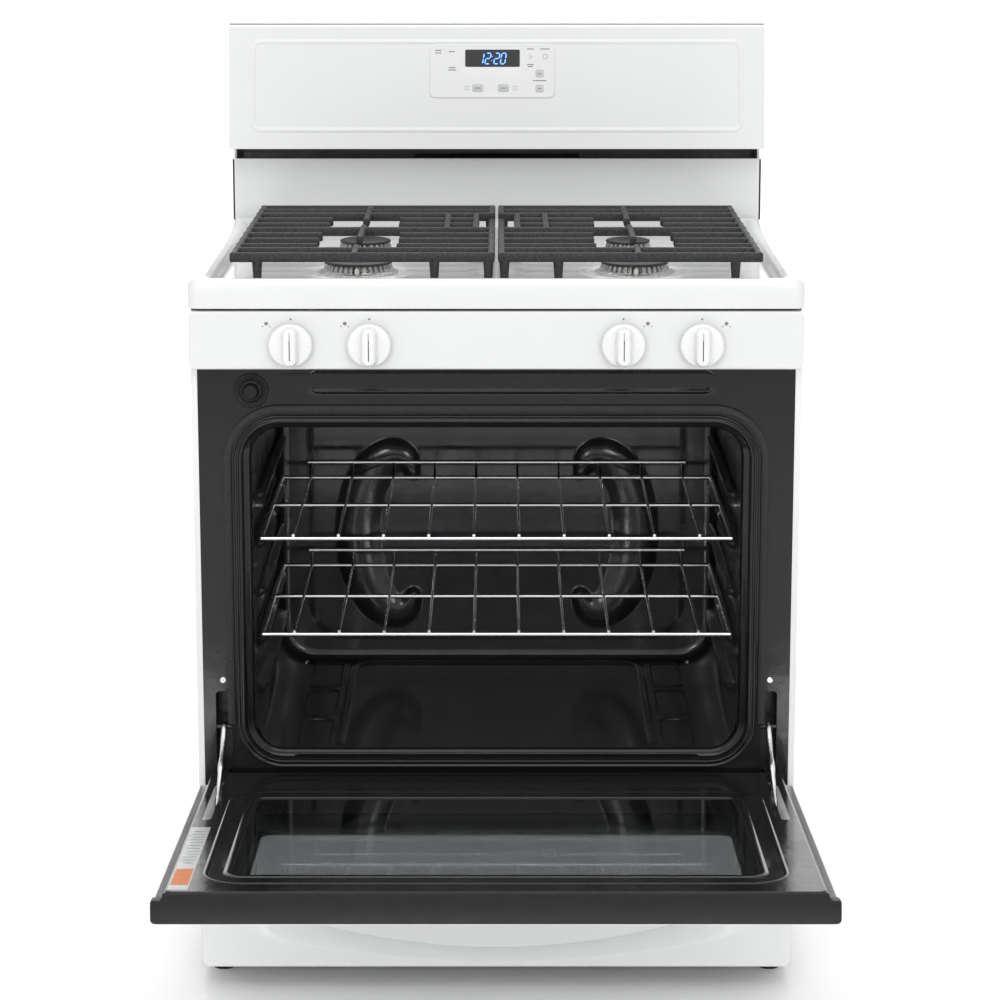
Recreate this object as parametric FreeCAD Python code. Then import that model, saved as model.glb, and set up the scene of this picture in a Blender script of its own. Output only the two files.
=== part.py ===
import FreeCAD, Part
import math
import os

# Freestanding gas range: cabinet, oven, sealed-burner cooktop, console, drop-down door,
# pull-out drawer. Millimetres. +X is to the right of a person facing the range, +Y to the
# back, +Z up. The origin is on the floor, midway between the door's far end and the back.
# The door is drawn open, a little above level, which is also its rest position.

os.makedirs("parts", exist_ok=True)

V = FreeCAD.Vector
X_AXIS = V(1, 0, 0)
Y_AXIS = V(0, 1, 0)
Z_AXIS = V(0, 0, 1)

# Overall sizes
CABINET_WIDTH = 757.0
CABINET_DEPTH = 638.0          # front frame to back panel
COOKTOP_HEIGHT = 914.0         # floor to the cooktop's rim
BACKGUARD_HEIGHT = 277.0       # cooktop's rim to the top of the console
FLOOR_GAP = 30.0               # floor to the base rails

# Sheet and running clearances
SHEET = 1.2                    # cabinet and trim sheet
LINER_SHEET = 1.0              # oven liner sheet
PRESSING = 1.5                 # cooktop, front frame and oven floor panel
CLEARANCE = 0.3                # between neighbours that move past each other
RUNNING = 0.05                 # radial, on pins and shafts

# Heights that stack up from the floor and down from the cooktop
DRAWER_TOP = 238.0
PIVOT_HEIGHT = 268.8           # floor to the door's pivot
MOUTH_BOTTOM = 296.0
CAVITY_FLOOR = 300.0
MANIFOLD_TOP = COOKTOP_HEIGHT - 39.0
MANIFOLD_BOTTOM = MANIFOLD_TOP - 73.0
MOUTH_TOP = MANIFOLD_BOTTOM - 69.0
CAVITY_TOP = MOUTH_TOP + 12.0
GRATE_TOP = COOKTOP_HEIGHT + 26.0
TOTAL_HEIGHT = COOKTOP_HEIGHT + BACKGUARD_HEIGHT

# Door
DOOR_WIDTH = CABINET_WIDTH - 5.0
DOOR_THICKNESS = 35.3
DOOR_LENGTH = MANIFOLD_BOTTOM - 13.7 - PIVOT_HEIGHT  # pivot to the far end
DOOR_HEEL = 14.0               # pivot to the hinge end
DOOR_OPEN = 86.0               # degrees from closed
DOOR_GAP = 8.0                 # closed liner to front frame
PIVOT_DEPTH = 14.0             # liner face to pivot
LINER_WIDTH = DOOR_WIDTH - 30.0
LINER_DEPTH = 17.0
WINDOW_WIDTH = DOOR_WIDTH - 189.0
WINDOW_START = 183.0           # pivot to the window's near edge
WINDOW_LENGTH = DOOR_LENGTH - 253.5
INNER_GLASS_WIDTH = WINDOW_WIDTH + 41.0
INNER_GLASS_START = 105.0
INNER_GLASS_LENGTH = DOOR_LENGTH - 165.5
GLASS = 4.0
DOOR_INSIDE = PIVOT_DEPTH      # liner's face, from the pivot
DOOR_OUTSIDE = PIVOT_DEPTH - DOOR_THICKNESS
DOOR_SPLIT = PIVOT_DEPTH - LINER_DEPTH
DOOR_PIN_RADIUS = 3.0
TRIM_LENGTH = 5.0
SCOOP_START = WINDOW_START + WINDOW_LENGTH + 6.0
SCOOP_END = SCOOP_START + 42.0
SCOOP_DEPTH = 11.0
HANDLE_HALF = DOOR_WIDTH / 2 - 84.0
HANDLE_PROUD = 12.0

# Oven
MOUTH_WIDTH = CABINET_WIDTH - 122.0
MOUTH_RADIUS = 48.0
GASKET_THICKNESS = 7.0
CAVITY_WIDTH = MOUTH_WIDTH - 23.0
CAVITY_DEPTH = CABINET_DEPTH - 183.0
HALF_CAVITY = CAVITY_WIDTH / 2
GUIDE_STEP = (CAVITY_TOP - CAVITY_FLOOR - 5.75) / 7
GUIDE_REACH = 14.0             # how far a rack guide stands off the oven wall
RACK_LOW = CAVITY_FLOOR + 2 * GUIDE_STEP + 23.0
RACK_HIGH = RACK_LOW + 2 * GUIDE_STEP
RACK_WIRE = 3.0                # radius of a rack's frame wire
RACK_RUNG = 1.8                # radius of a rack's thin wires
FLOOR_SCREW_X = HALF_CAVITY - 36.0
BURNER_BOX_TOP = CAVITY_FLOOR - 20.0
BURNER_BOX_BOTTOM = CAVITY_FLOOR - 54.0
OVEN_BURNER_Z = BURNER_BOX_BOTTOM + 22.0

# Cooktop, burners, grates and knobs
MANIFOLD_PROUD = 17.0          # manifold panel in front of the front frame
COOKTOP_WIDTH = CABINET_WIDTH + 2.0
COOKTOP_LIP = 36.0             # height of the cooktop's rolled edge
PAN_DROP = 15.0                # rim to the recessed pan
PAN_RIM = 32.0
GRATE_WIDTH = COOKTOP_WIDTH / 2 - 50.5
GRATE_GAP = 4.0
GRATE_FRONT = 33.0             # front frame to the grates' front rail
GRATE_DEPTH = CABINET_DEPTH - 147.0
GRATE_BAR = 9.0
GRATE_BAR_HEIGHT = 12.0
BURNER_X = (GRATE_GAP + GRATE_WIDTH) / 2 + 10.5
BURNER_FRONT = 153.0           # front frame to the front burners
BURNER_REAR = 353.0
BASE_FLANGE = 7.0              # burner base beyond its cap, all round
BASE_HEIGHT = 3.0
HEAD_HEIGHT = 9.0
CAP_HEIGHT = 4.0
THROAT_RADIUS = 20.0
OUTER_KNOB_X = CABINET_WIDTH / 2 - 126.0
INNER_KNOB_X = OUTER_KNOB_X - 96.5
KNOB_X = (-OUTER_KNOB_X, -INNER_KNOB_X, INNER_KNOB_X, OUTER_KNOB_X)
KNOB_HEIGHT = MANIFOLD_BOTTOM + 31.5
KNOB_RADIUS = 27.0
KNOB_SKIRT = 9.0
KNOB_DEPTH = 24.0
KNOB_PUSH = 4.0
STEM_RADIUS = 4.0
STEM_PROUD = 14.0              # valve stem in front of the manifold panel

# Backguard
RISER_DEPTH = 43.0
SLOT_BOTTOM = COOKTOP_HEIGHT + 84.0
CONSOLE_BOTTOM = SLOT_BOTTOM + 18.0
CONSOLE_FOOT = 84.0            # console's lower front edge to the back
CONSOLE_HEAD = 51.0            # console's upper front edge to the back
CONSOLE_RAKE = math.atan2(CONSOLE_FOOT - CONSOLE_HEAD, TOTAL_HEIGHT - CONSOLE_BOTTOM)
FLUE_HALF = 120.0
KEYPAD_W = 177.0
KEYPAD_H = 76.0
KEYPAD_X = -6.6
KEYPAD_Z = TOTAL_HEIGHT - 67.0
DISPLAY_X0 = -38.0
DISPLAY_X1 = 39.0
DISPLAY_V0 = 5.8
DISPLAY_V1 = 30.0

# Drawer
DRAWER_WIDTH = CABINET_WIDTH - 7.0
DRAWER_BOTTOM = FLOOR_GAP - 1.0
DRAWER_FRONT_DEPTH = 28.0
DRAWER_PROUD = 32.0            # drawer face in front of the front frame
PULL_HEIGHT = 55.5             # floor to the pull's upper edge, at the middle
PULL_RADIUS = 850.0
PULL_LIP_HEIGHT = 36.0
PULL_LIP_RADIUS = 1250.0
PULL_DEPTH = 11.0

# Base rails and levelling legs
RAIL_WIDTH = 40.0
RAIL_HEIGHT = 20.0
LEG_STEM_RADIUS = 4.75
LEG_FOOT_RADIUS = 17.0
LEG_INSET_X = 22.0
LEG_INSET_Y = 50.0

# Places worked out from the sizes above
SIDE = CABINET_WIDTH / 2
TILT = math.radians(90.0 - DOOR_OPEN)
PIVOT_OFFSET = DOOR_GAP + PIVOT_DEPTH
DOOR_REACH = PIVOT_OFFSET + DOOR_LENGTH * math.cos(TILT) - PIVOT_DEPTH * math.sin(TILT)
FRAME_Y = (DOOR_REACH - CABINET_DEPTH) / 2
BACK_Y = FRAME_Y + CABINET_DEPTH
PIVOT = V(0, FRAME_Y - PIVOT_OFFSET, PIVOT_HEIGHT)
PANEL_Y = FRAME_Y - MANIFOLD_PROUD
MANIFOLD_BACK_Y = FRAME_Y + 14.0
DRAWER_FACE_Y = FRAME_Y - DRAWER_PROUD
PAN_Z = COOKTOP_HEIGHT - PAN_DROP
RISER_Y = BACK_Y - RISER_DEPTH
CONSOLE_FRONT = BACK_Y - CONSOLE_FOOT
CAVITY_BACK_Y = FRAME_Y + CAVITY_DEPTH
RAIL_TOP = FLOOR_GAP + RAIL_HEIGHT
FRAME_BOTTOM = DRAWER_TOP + 2.0
LEG_X = SIDE - SHEET - LEG_INSET_X
LEG_Y = (FRAME_Y + LEG_INSET_Y, BACK_Y - LEG_INSET_Y)

# Hinge links: pinned just behind the front frame, with their free ends in the door
LINK_X = SIDE - 33.5
LINK_PIN = V(0, FRAME_Y + 5.0, PIVOT_HEIGHT + 69.2)
LINK_PIN_RADIUS = 3.0
LINK_END_S = 89.0              # free end along the open door, from the pivot
LINK_END_N = -9.0              # free end through the door's thickness
LINK_WIDTH = 14.0
LINK_THICKNESS = 7.0
LINK_SLOT_END = 216.0
LINK_SLOT_HALF = 5.5
POCKET_HALF = 10.0
POCKET_BOTTOM = PIVOT_HEIGHT - 10.8
POCKET_TOP = LINK_PIN.z + 48.0

# Door switch, top left of the oven mouth
SWITCH_X = 13.5 - MOUTH_WIDTH / 2
SWITCH_Z = MOUTH_TOP + 39.6
SWITCH_BODY_RADIUS = 11.0
PLUNGER_RADIUS = 8.8
PLUNGER_PROUD = 14.0

# Gas supply, along the front behind the knobs and back to the inlet, and the cable hole
PIPE_RADIUS = 9.5
PIPE_Y = FRAME_Y + 62.0
PIPE_Z = KNOB_HEIGHT
INLET_X = 78.5 - SIDE
INLET_RADIUS = 9.3
REGULATOR_DEPTH = 62.0
GLAND_X = SIDE - 78.5
GLAND_Z = 220.0
GLAND_RADIUS = 11.0

# x, y and the cap's radius of each burner
BURNERS = (
    (-BURNER_X, FRAME_Y + BURNER_FRONT, 44.0),
    (BURNER_X, FRAME_Y + BURNER_FRONT, 44.0),
    (-BURNER_X, FRAME_Y + BURNER_REAR, 34.5),
    (BURNER_X, FRAME_Y + BURNER_REAR, 30.0),
)

# Bars across a grate, as fractions of its depth from the back; split bars leave a gap over the burner
FULL_BARS = (0.0, 0.08, 0.165, 0.49, 0.90, 1.0)
SPLIT_BARS = ((0.28, 45.0), (0.39, 46.0), (0.60, 50.0), (0.71, 51.0), (0.82, 50.0))


def block(x0, x1, y0, y1, z0, z1):
    return Part.makeBox(x1 - x0, y1 - y0, z1 - z0, V(x0, y0, z0))


def rod(radius, start, end):
    return Part.makeCylinder(radius, (end - start).Length, start, end - start)


def joined(shapes):
    result = shapes[0].fuse(shapes[1:]) if len(shapes) > 1 else shapes[0]
    return result.removeSplitter()


def group(shapes):
    return Part.makeCompound(shapes)


def mirrored(shape):
    return shape.mirror(V(0, 0, 0), X_AXIS)


def pair(shape):
    return [shape, mirrored(shape)]


def rounded_face(x0, x1, z0, z1, radius, y):
    """Rectangle with round corners in a plane of constant Y."""
    turn = radius * math.sqrt(0.5)
    corners = ((x1, z0, 1, -1), (x1, z1, 1, 1), (x0, z1, -1, 1), (x0, z0, -1, -1))
    edges = []
    ends = []
    for x, z, sx, sz in corners:
        centre = V(x - sx * radius, y, z - sz * radius)
        on_x = centre + V(sx * radius, 0, 0)
        on_z = centre + V(0, 0, sz * radius)
        middle = centre + V(sx * turn, 0, sz * turn)
        first, last = (on_z, on_x) if sx * sz < 0 else (on_x, on_z)
        ends.append((first, last))
        edges.append(Part.Arc(first, middle, last).toShape())
    for index in range(4):
        start = ends[index][1]
        end = ends[(index + 1) % 4][0]
        if (end - start).Length > 0.001:
            edges.append(Part.LineSegment(start, end).toShape())
    wire = Part.Wire(Part.__sortEdges__(edges))
    return Part.Face(wire)


def rounded_plate(x0, x1, z0, z1, radius, y0, y1):
    return rounded_face(x0, x1, z0, z1, radius, y0).extrude(V(0, y1 - y0, 0))


def profile_along_x(points, x0, x1):
    """Prism along X of a closed outline given as (y, z) points."""
    corners = [V(x0, y, z) for y, z in points]
    return Part.Face(Part.makePolygon(corners + corners[:1])).extrude(V(x1 - x0, 0, 0))


def edges_along(shape, axis, keep):
    """Straight edges of a shape that run along an axis and pass a test on their middle."""
    found = []
    for edge in shape.Edges:
        if len(edge.Vertexes) != 2:
            continue
        along = edge.Vertexes[1].Point - edge.Vertexes[0].Point
        if along.Length > 0.01 and abs(along.normalize().dot(axis)) > 0.999:
            middle = edge.CenterOfMass
            if keep(middle):
                found.append(edge)
    return found


# ---- Base and cabinet -------------------------------------------------------------------

def base_rails():
    """Two rails that carry the side panels, the legs and the drawer."""
    outer = SIDE - SHEET
    rail = block(outer - RAIL_WIDTH, outer, FRAME_Y + 3.0, BACK_Y - SHEET, FLOOR_GAP, RAIL_TOP)
    for y in LEG_Y:
        rail = rail.cut(rod(LEG_STEM_RADIUS + RUNNING, V(LEG_X, y, FLOOR_GAP), V(LEG_X, y, RAIL_TOP)))
    return group(pair(rail))


def base_cross_members():
    """Front and rear bars between the base rails."""
    reach = SIDE - SHEET - RAIL_WIDTH
    front = block(-reach, reach, FRAME_Y + 8.0, FRAME_Y + 33.0, FLOOR_GAP, RAIL_TOP - 2.0)
    rear = block(-reach, reach, BACK_Y - 30.0, BACK_Y - SHEET, FLOOR_GAP, RAIL_TOP)
    return group([front, rear])


def leg(x, y):
    """Levelling leg: a six-sided foot on a threaded stem, drawn as its major diameter."""
    foot_height = 10.0
    corners = [V(x + LEG_FOOT_RADIUS * math.cos(k * math.pi / 3),
                 y + LEG_FOOT_RADIUS * math.sin(k * math.pi / 3), 0) for k in range(6)]
    foot = Part.Face(Part.makePolygon(corners + corners[:1])).extrude(V(0, 0, foot_height))
    foot = foot.common(Part.makeCone(LEG_FOOT_RADIUS - 2.0, LEG_FOOT_RADIUS + 4.0, foot_height, V(x, y, 0)))
    stem = rod(LEG_STEM_RADIUS, V(x, y, foot_height), V(x, y, RAIL_TOP - 4.0))
    return joined([foot, stem])


def side_panel():
    """Right-hand side panel: a sheet folded in along its front, back and top edges."""
    top = COOKTOP_HEIGHT - COOKTOP_LIP - CLEARANCE
    inner = SIDE - SHEET
    y1 = BACK_Y - SHEET
    wall = block(inner, SIDE, FRAME_Y, y1, FLOOR_GAP, top)
    front_fold = block(SIDE - 8.0, SIDE, FRAME_Y, FRAME_Y + SHEET, FLOOR_GAP, MANIFOLD_BOTTOM - CLEARANCE)
    back_fold = block(SIDE - 15.0, SIDE, y1 - SHEET, y1, RAIL_TOP, top)
    top_fold = block(SIDE - 12.0, SIDE, FRAME_Y + 20.0, y1, top - SHEET, top)
    notch = block(SIDE - 20.0, SIDE + 1, FRAME_Y - 1, MANIFOLD_BACK_Y + CLEARANCE,
                  MANIFOLD_BOTTOM - CLEARANCE, top + 1)
    return joined([wall, front_fold, back_fold, top_fold]).cut(notch)


def back_panel():
    """Back closed by sheets round a square gas opening; the lower one has the air slots."""
    y0 = BACK_Y - SHEET
    opening = 30.0
    low = PIPE_Z - opening
    high = PIPE_Z + opening
    lower = block(-SIDE, SIDE, y0, BACK_Y, FLOOR_GAP, low)
    upper = block(-SIDE, SIDE, y0, BACK_Y, high, SLOT_BOTTOM)
    beside = block(-SIDE, INLET_X - opening, y0, BACK_Y, low, high)
    between = block(INLET_X + opening, SIDE, y0, BACK_Y, low, high)
    cutters = [rod(GLAND_RADIUS, V(GLAND_X, BACK_Y - 5.0, GLAND_Z), V(GLAND_X, BACK_Y + 5.0, GLAND_Z))]
    slot_half = 4.0
    for row in range(2):
        for column in range(9):
            x = -200.0 + 50.0 * column
            z = 180.0 + 60.0 * row
            cutters.append(rounded_plate(x - slot_half, x + slot_half, z, z + 40.0, slot_half - 0.1,
                                         BACK_Y - 5.0, BACK_Y + 5.0))
    return group([lower.cut(cutters), upper, beside, between])


def front_frame():
    """Black enamelled face of the oven, with its mouth, hinge slots and switch hole."""
    reach = SIDE - 8.0 - CLEARANCE
    plate_back = FRAME_Y + PRESSING
    depth = FRAME_Y + 16.0
    top = MANIFOLD_BOTTOM - CLEARANCE
    plate = block(-reach, reach, FRAME_Y, plate_back, FRAME_BOTTOM, top)
    half = MOUTH_WIDTH / 2
    bead_out = rounded_plate(-half - 9, half + 9, MOUTH_BOTTOM - 9, MOUTH_TOP + 9, MOUTH_RADIUS + 9,
                             FRAME_Y - 3.0, FRAME_Y)
    ridge = rounded_plate(103.5 - SIDE, SIDE - 105.5, MOUTH_TOP + 44.0, MOUTH_TOP + 61.0, 8.4,
                          FRAME_Y - 2.5, FRAME_Y)
    parts = [plate, bead_out, ridge]
    for side in (-1, 1):
        edge = side * reach
        inner = side * (reach - PRESSING)
        parts.append(block(min(edge, inner), max(edge, inner), plate_back, depth, FRAME_BOTTOM, top))
    parts.append(block(-reach, reach, plate_back, depth, FRAME_BOTTOM, FRAME_BOTTOM + PRESSING))
    parts.append(block(-reach, reach, plate_back, depth, top - PRESSING, top))
    throat = rounded_plate(-half - 2, half + 2, MOUTH_BOTTOM - 2, MOUTH_TOP + 2, MOUTH_RADIUS + 2,
                           plate_back, FRAME_Y + 8.0)
    parts.append(throat)
    frame = joined(parts)
    mouth = rounded_plate(-half, half, MOUTH_BOTTOM, MOUTH_TOP, MOUTH_RADIUS, FRAME_Y - 10.0, FRAME_Y + 20.0)
    cutters = [mouth]
    for side in (-1, 1):
        x = side * LINK_X
        cutters.append(rounded_plate(x - POCKET_HALF, x + POCKET_HALF, POCKET_BOTTOM, POCKET_TOP, 5.0,
                                     FRAME_Y - 10.0, FRAME_Y + 10.0))
    cutters.append(rod(SWITCH_BODY_RADIUS + 0.2, V(SWITCH_X, FRAME_Y - 10.0, SWITCH_Z),
                       V(SWITCH_X, FRAME_Y + 10.0, SWITCH_Z)))
    return frame.cut(cutters)


def hinge_receivers():
    """Two folded brackets behind the hinge slots.

    Each has the pin that its link turns on, and an arm that reaches out to the door's pivot.
    """
    depth = 34.0
    wall = 2.0
    y0 = FRAME_Y + PRESSING
    outside = POCKET_HALF + wall
    body = block(LINK_X - outside, LINK_X + outside, y0, y0 + depth, POCKET_BOTTOM - 4, POCKET_TOP + 4)
    hollow = block(LINK_X - POCKET_HALF, LINK_X + POCKET_HALF, y0 - 1, y0 + depth - wall,
                   POCKET_BOTTOM - 2, POCKET_TOP + 2)
    pin = rod(LINK_PIN_RADIUS, V(LINK_X - outside, LINK_PIN.y, LINK_PIN.z),
              V(LINK_X + outside, LINK_PIN.y, LINK_PIN.z))
    arm_half = 5.0
    x0 = LINK_X - LINK_THICKNESS / 2
    x1 = LINK_X + LINK_THICKNESS / 2
    eye = rod(6.5, V(x0, PIVOT.y, PIVOT.z), V(x1, PIVOT.y, PIVOT.z))
    arm = block(x0, x1, PIVOT.y, y0 + depth - wall, PIVOT.z - arm_half, PIVOT.z + arm_half)
    eye_bore = rod(DOOR_PIN_RADIUS + RUNNING, V(x0 - 1, PIVOT.y, PIVOT.z), V(x1 + 1, PIVOT.y, PIVOT.z))
    bracket = joined([body.cut(hollow), pin, joined([eye, arm]).cut(eye_bore)])
    return group(pair(bracket))


def door_gasket():
    """Braided seal that runs round the oven mouth."""
    half = MOUTH_WIDTH / 2
    outer = rounded_plate(-half - 22, half + 22, MOUTH_BOTTOM - 10.5, MOUTH_TOP + 22, MOUTH_RADIUS + 20,
                          FRAME_Y - GASKET_THICKNESS, FRAME_Y)
    inner = rounded_plate(-half - 12, half + 12, MOUTH_BOTTOM - 1.5, MOUTH_TOP + 12, MOUTH_RADIUS + 12,
                          FRAME_Y - 20.0, FRAME_Y + 5.0)
    lower = block(-half - 30, half + 30, FRAME_Y - 20, FRAME_Y + 5, FRAME_BOTTOM, MOUTH_BOTTOM + 40)
    return outer.cut([inner, lower])


def switch_housing():
    """Socket of the door switch: a collar in front of the frame and a body behind it."""
    y0 = FRAME_Y - 2.0
    collar = rod(12.0, V(SWITCH_X, y0, SWITCH_Z), V(SWITCH_X, FRAME_Y, SWITCH_Z))
    body = rod(SWITCH_BODY_RADIUS, V(SWITCH_X, FRAME_Y, SWITCH_Z), V(SWITCH_X, FRAME_Y + 26, SWITCH_Z))
    bore = rod(PLUNGER_RADIUS + RUNNING, V(SWITCH_X, y0 - 1, SWITCH_Z), V(SWITCH_X, FRAME_Y + 22, SWITCH_Z))
    return joined([collar, body]).cut(bore)


def switch_plunger():
    """Push button of the door switch, with a rounded nose."""
    nose = FRAME_Y - PLUNGER_PROUD
    button = rod(PLUNGER_RADIUS, V(SWITCH_X, nose, SWITCH_Z), V(SWITCH_X, FRAME_Y + 12.0, SWITCH_Z))
    rim = [edge for edge in button.Edges if abs(edge.BoundBox.YMax - nose) < 0.01]
    return button.makeFillet(2.5, rim)


def screws():
    """Pan-head screws: hinge brackets, oven floor panel and back panel."""
    heads = []
    for side in (-1, 1):
        heads.append(screw(V(side * LINK_X, FRAME_Y, POCKET_TOP + 15.0), V(0, -1, 0)))
        heads.append(screw(V(side * FLOOR_SCREW_X, CAVITY_BACK_Y - 25.0, CAVITY_FLOOR), Z_AXIS))
        for z in (120.0, 420.0, 700.0, 960.0):
            heads.append(screw(V(side * (SIDE - 7.5), BACK_Y, z), Y_AXIS))
    return group(heads)


def screw(seat, out):
    """One screw head with a cross recess, seated at a point and facing outwards."""
    head = Part.makeCylinder(4.2, 2.4, seat, out)
    crown = [edge for edge in head.Edges if (edge.CenterOfMass - seat).dot(out) > 1.0 and edge.Closed]
    head = head.makeFillet(1.2, crown)
    across = V(1, 0, 0)
    other = out.cross(across)
    for along, wide in ((across, other), (other, across)):
        low = seat + out * 1.2 - along * 2.2 - wide * 0.4
        corners = [low, low + along * 4.4, low + along * 4.4 + wide * 0.8, low + wide * 0.8]
        slot = Part.Face(Part.makePolygon(corners + corners[:1])).extrude(out * 3.0)
        head = head.cut(slot)
    return head


# ---- Oven ---------------------------------------------------------------------------------

def crescent(side, y0, y1):
    """Formed rib on the oven's back wall, bowed outwards like a bracket."""
    centre_z = (CAVITY_FLOOR + CAVITY_TOP) / 2 - 38.5
    outer_radius = 150.0
    width = 40.0
    middle_x = side * (198.0 - outer_radius)
    ring = rod(outer_radius + 16.0, V(middle_x, y0, centre_z), V(middle_x, y1, centre_z))
    ring = ring.cut(rod(outer_radius + 16.0 - width, V(middle_x, y0 - 1, centre_z),
                        V(middle_x, y1 + 1, centre_z)))
    keep = block(116.0, HALF_CAVITY - 6.0, y0 - 1, y1 + 1, CAVITY_FLOOR + 42.0, CAVITY_TOP - 121.0)
    if side < 0:
        keep = mirrored(keep)
    return ring.common(keep)


def oven_liner():
    """Enamelled oven box as welded panels: two sides with rack guides, ceiling and back."""
    y0 = FRAME_Y + 8.0
    y1 = CAVITY_BACK_Y
    wall = block(HALF_CAVITY, HALF_CAVITY + LINER_SHEET, y0, y1, BURNER_BOX_TOP, CAVITY_TOP)
    parts = [wall]
    for level in range(-1, 4):
        top = RACK_LOW + level * GUIDE_STEP - RACK_WIRE - CLEARANCE
        outline = [(HALF_CAVITY, top), (HALF_CAVITY - GUIDE_REACH, top),
                   (HALF_CAVITY - GUIDE_REACH, top - 7.0), (HALF_CAVITY, top - 17.0)]
        corners = [V(x, FRAME_Y + 45.0, z) for x, z in outline]
        face = Part.Face(Part.makePolygon(corners + corners[:1]))
        parts.append(face.extrude(V(0, CAVITY_DEPTH - 70.0, 0)))
    side = joined(parts)
    ceiling = block(-HALF_CAVITY - LINER_SHEET, HALF_CAVITY + LINER_SHEET, y0, y1, CAVITY_TOP,
                    CAVITY_TOP + LINER_SHEET)
    back = block(-HALF_CAVITY - LINER_SHEET, HALF_CAVITY + LINER_SHEET, y1, y1 + LINER_SHEET,
                 BURNER_BOX_TOP, CAVITY_TOP + LINER_SHEET)
    ribs = [crescent(side_sign, y1 - 8.0, y1) for side_sign in (-1, 1)]
    return group(pair(side) + [ceiling, joined([back] + ribs)])


def oven_floor_panel():
    """Lift-out oven floor: a sheet with a sunk middle and three slots along each side."""
    y0 = FRAME_Y + 8.0 + CLEARANCE
    y1 = CAVITY_BACK_Y - CLEARANCE
    x1 = HALF_CAVITY - CLEARANCE
    sheet = PRESSING
    top = CAVITY_FLOOR
    plate = block(-x1, x1, y0, y1, top - sheet, top)
    flange = block(-x1, x1, y0, y0 + sheet, top - 18.0, top)
    sunk_x = HALF_CAVITY - 114.0
    sunk_y0 = FRAME_Y + 36.0
    sunk_y1 = CAVITY_BACK_Y - 31.0
    drop = 8.0
    tray = block(-sunk_x - sheet, sunk_x + sheet, sunk_y0 - sheet, sunk_y1 + sheet, top - drop - sheet, top)
    hollow = block(-sunk_x, sunk_x, sunk_y0, sunk_y1, top - drop, top + 1)
    panel = joined([plate, flange, tray]).cut(hollow)
    slots = []
    slot_gap = 22.0
    first = FRAME_Y + 49.0
    pitch = (CAVITY_BACK_Y - 29.0 + slot_gap - first) / 3
    for index in range(3):
        start = first + index * pitch
        slot = block(HALF_CAVITY - 88.0, HALF_CAVITY - 56.0, start, start + pitch - slot_gap,
                     top - 5.0, top + 5.0)
        slot = slot.makeFillet(12.0, edges_along(slot, Z_AXIS, lambda middle: True))
        slots += pair(slot)
    return panel.cut(slots)


def burner_box():
    """Sheet tray under the oven floor that closes the burner space off from the drawer."""
    x1 = HALF_CAVITY + LINER_SHEET
    y0 = FRAME_Y + 16.0 + CLEARANCE
    y1 = CAVITY_BACK_Y + LINER_SHEET
    bottom = BURNER_BOX_BOTTOM
    outer = block(-x1, x1, y0, y1, bottom, BURNER_BOX_TOP)
    inner = block(-x1 + SHEET, x1 - SHEET, y0 + SHEET, y1 - SHEET, bottom + SHEET, CAVITY_FLOOR)
    return outer.cut(inner)


def oven_burner():
    """Tube burner: a tube closed at the front, on two posts."""
    y0 = FRAME_Y + 60.0
    y1 = CAVITY_BACK_Y - 20.0
    radius = 14.0
    wall = 1.5
    tube = rod(radius, V(0, y0, OVEN_BURNER_Z), V(0, y1, OVEN_BURNER_Z))
    tube = tube.cut(rod(radius - wall, V(0, y0 + wall, OVEN_BURNER_Z), V(0, y1 + 1, OVEN_BURNER_Z)))
    posts = []
    for y in (y0 + 20.0, y1 - 20.0):
        posts.append(block(-4.0, 4.0, y, y + 2.0, BURNER_BOX_BOTTOM + SHEET, OVEN_BURNER_Z - radius + wall / 2))
    return joined([tube] + posts)


def oven_igniter():
    """Glow igniter: a flat heater bar in its guard, on a foot beside the oven burner."""
    y = FRAME_Y + 200.0
    foot = block(22.0, 48.0, y, y + 70.0, BURNER_BOX_BOTTOM + SHEET, BURNER_BOX_BOTTOM + SHEET + 2.0)
    stalk = block(40.0, 42.0, y, y + 70.0, BURNER_BOX_BOTTOM + SHEET, OVEN_BURNER_Z + 6.0)
    bar = block(30.0, 40.0, y + 8.0, y + 62.0, OVEN_BURNER_Z - 6.0, OVEN_BURNER_Z + 4.0)
    return joined([foot, stalk, bar])


def temperature_probe():
    """Oven sensor: a thin rod on a small plate screwed to the back wall."""
    base = V(82.0 - HALF_CAVITY, CAVITY_BACK_Y, CAVITY_TOP - 45.0)
    plate = block(base.x - 22, base.x + 22, base.y - 2.0, base.y, base.z - 9, base.z + 9)
    stem = rod(3.0, base, base - V(0, 80.0, 0))
    return joined([plate, stem])


def oven_lamp():
    """Oven lamp: a socket ring on the back wall and its domed glass cover."""
    base = V(HALF_CAVITY - 91.0, CAVITY_BACK_Y, CAVITY_TOP - 45.0)
    ring = rod(30.0, base, base - V(0, 6.0, 0))
    dome = Part.makeSphere(24.0, base - V(0, 6.0, 0), V(0, -1, 0), 0, 90, 360)
    return joined([ring, dome])


def insulation():
    """Fibre blanket round the liner: two sides, the top and the back."""
    thick = 28.0
    gap_front = FRAME_Y + 42.0
    x0 = HALF_CAVITY + LINER_SHEET
    y1 = CAVITY_BACK_Y + LINER_SHEET
    z1 = CAVITY_TOP + LINER_SHEET
    side = block(x0, x0 + thick, gap_front, y1, CAVITY_FLOOR, z1)
    top = block(-x0 - thick, x0 + thick, gap_front, y1, z1, z1 + thick)
    back = block(-x0 - thick, x0 + thick, y1, y1 + thick, CAVITY_FLOOR, z1 + thick)
    return group(pair(side) + [top, back])


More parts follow.
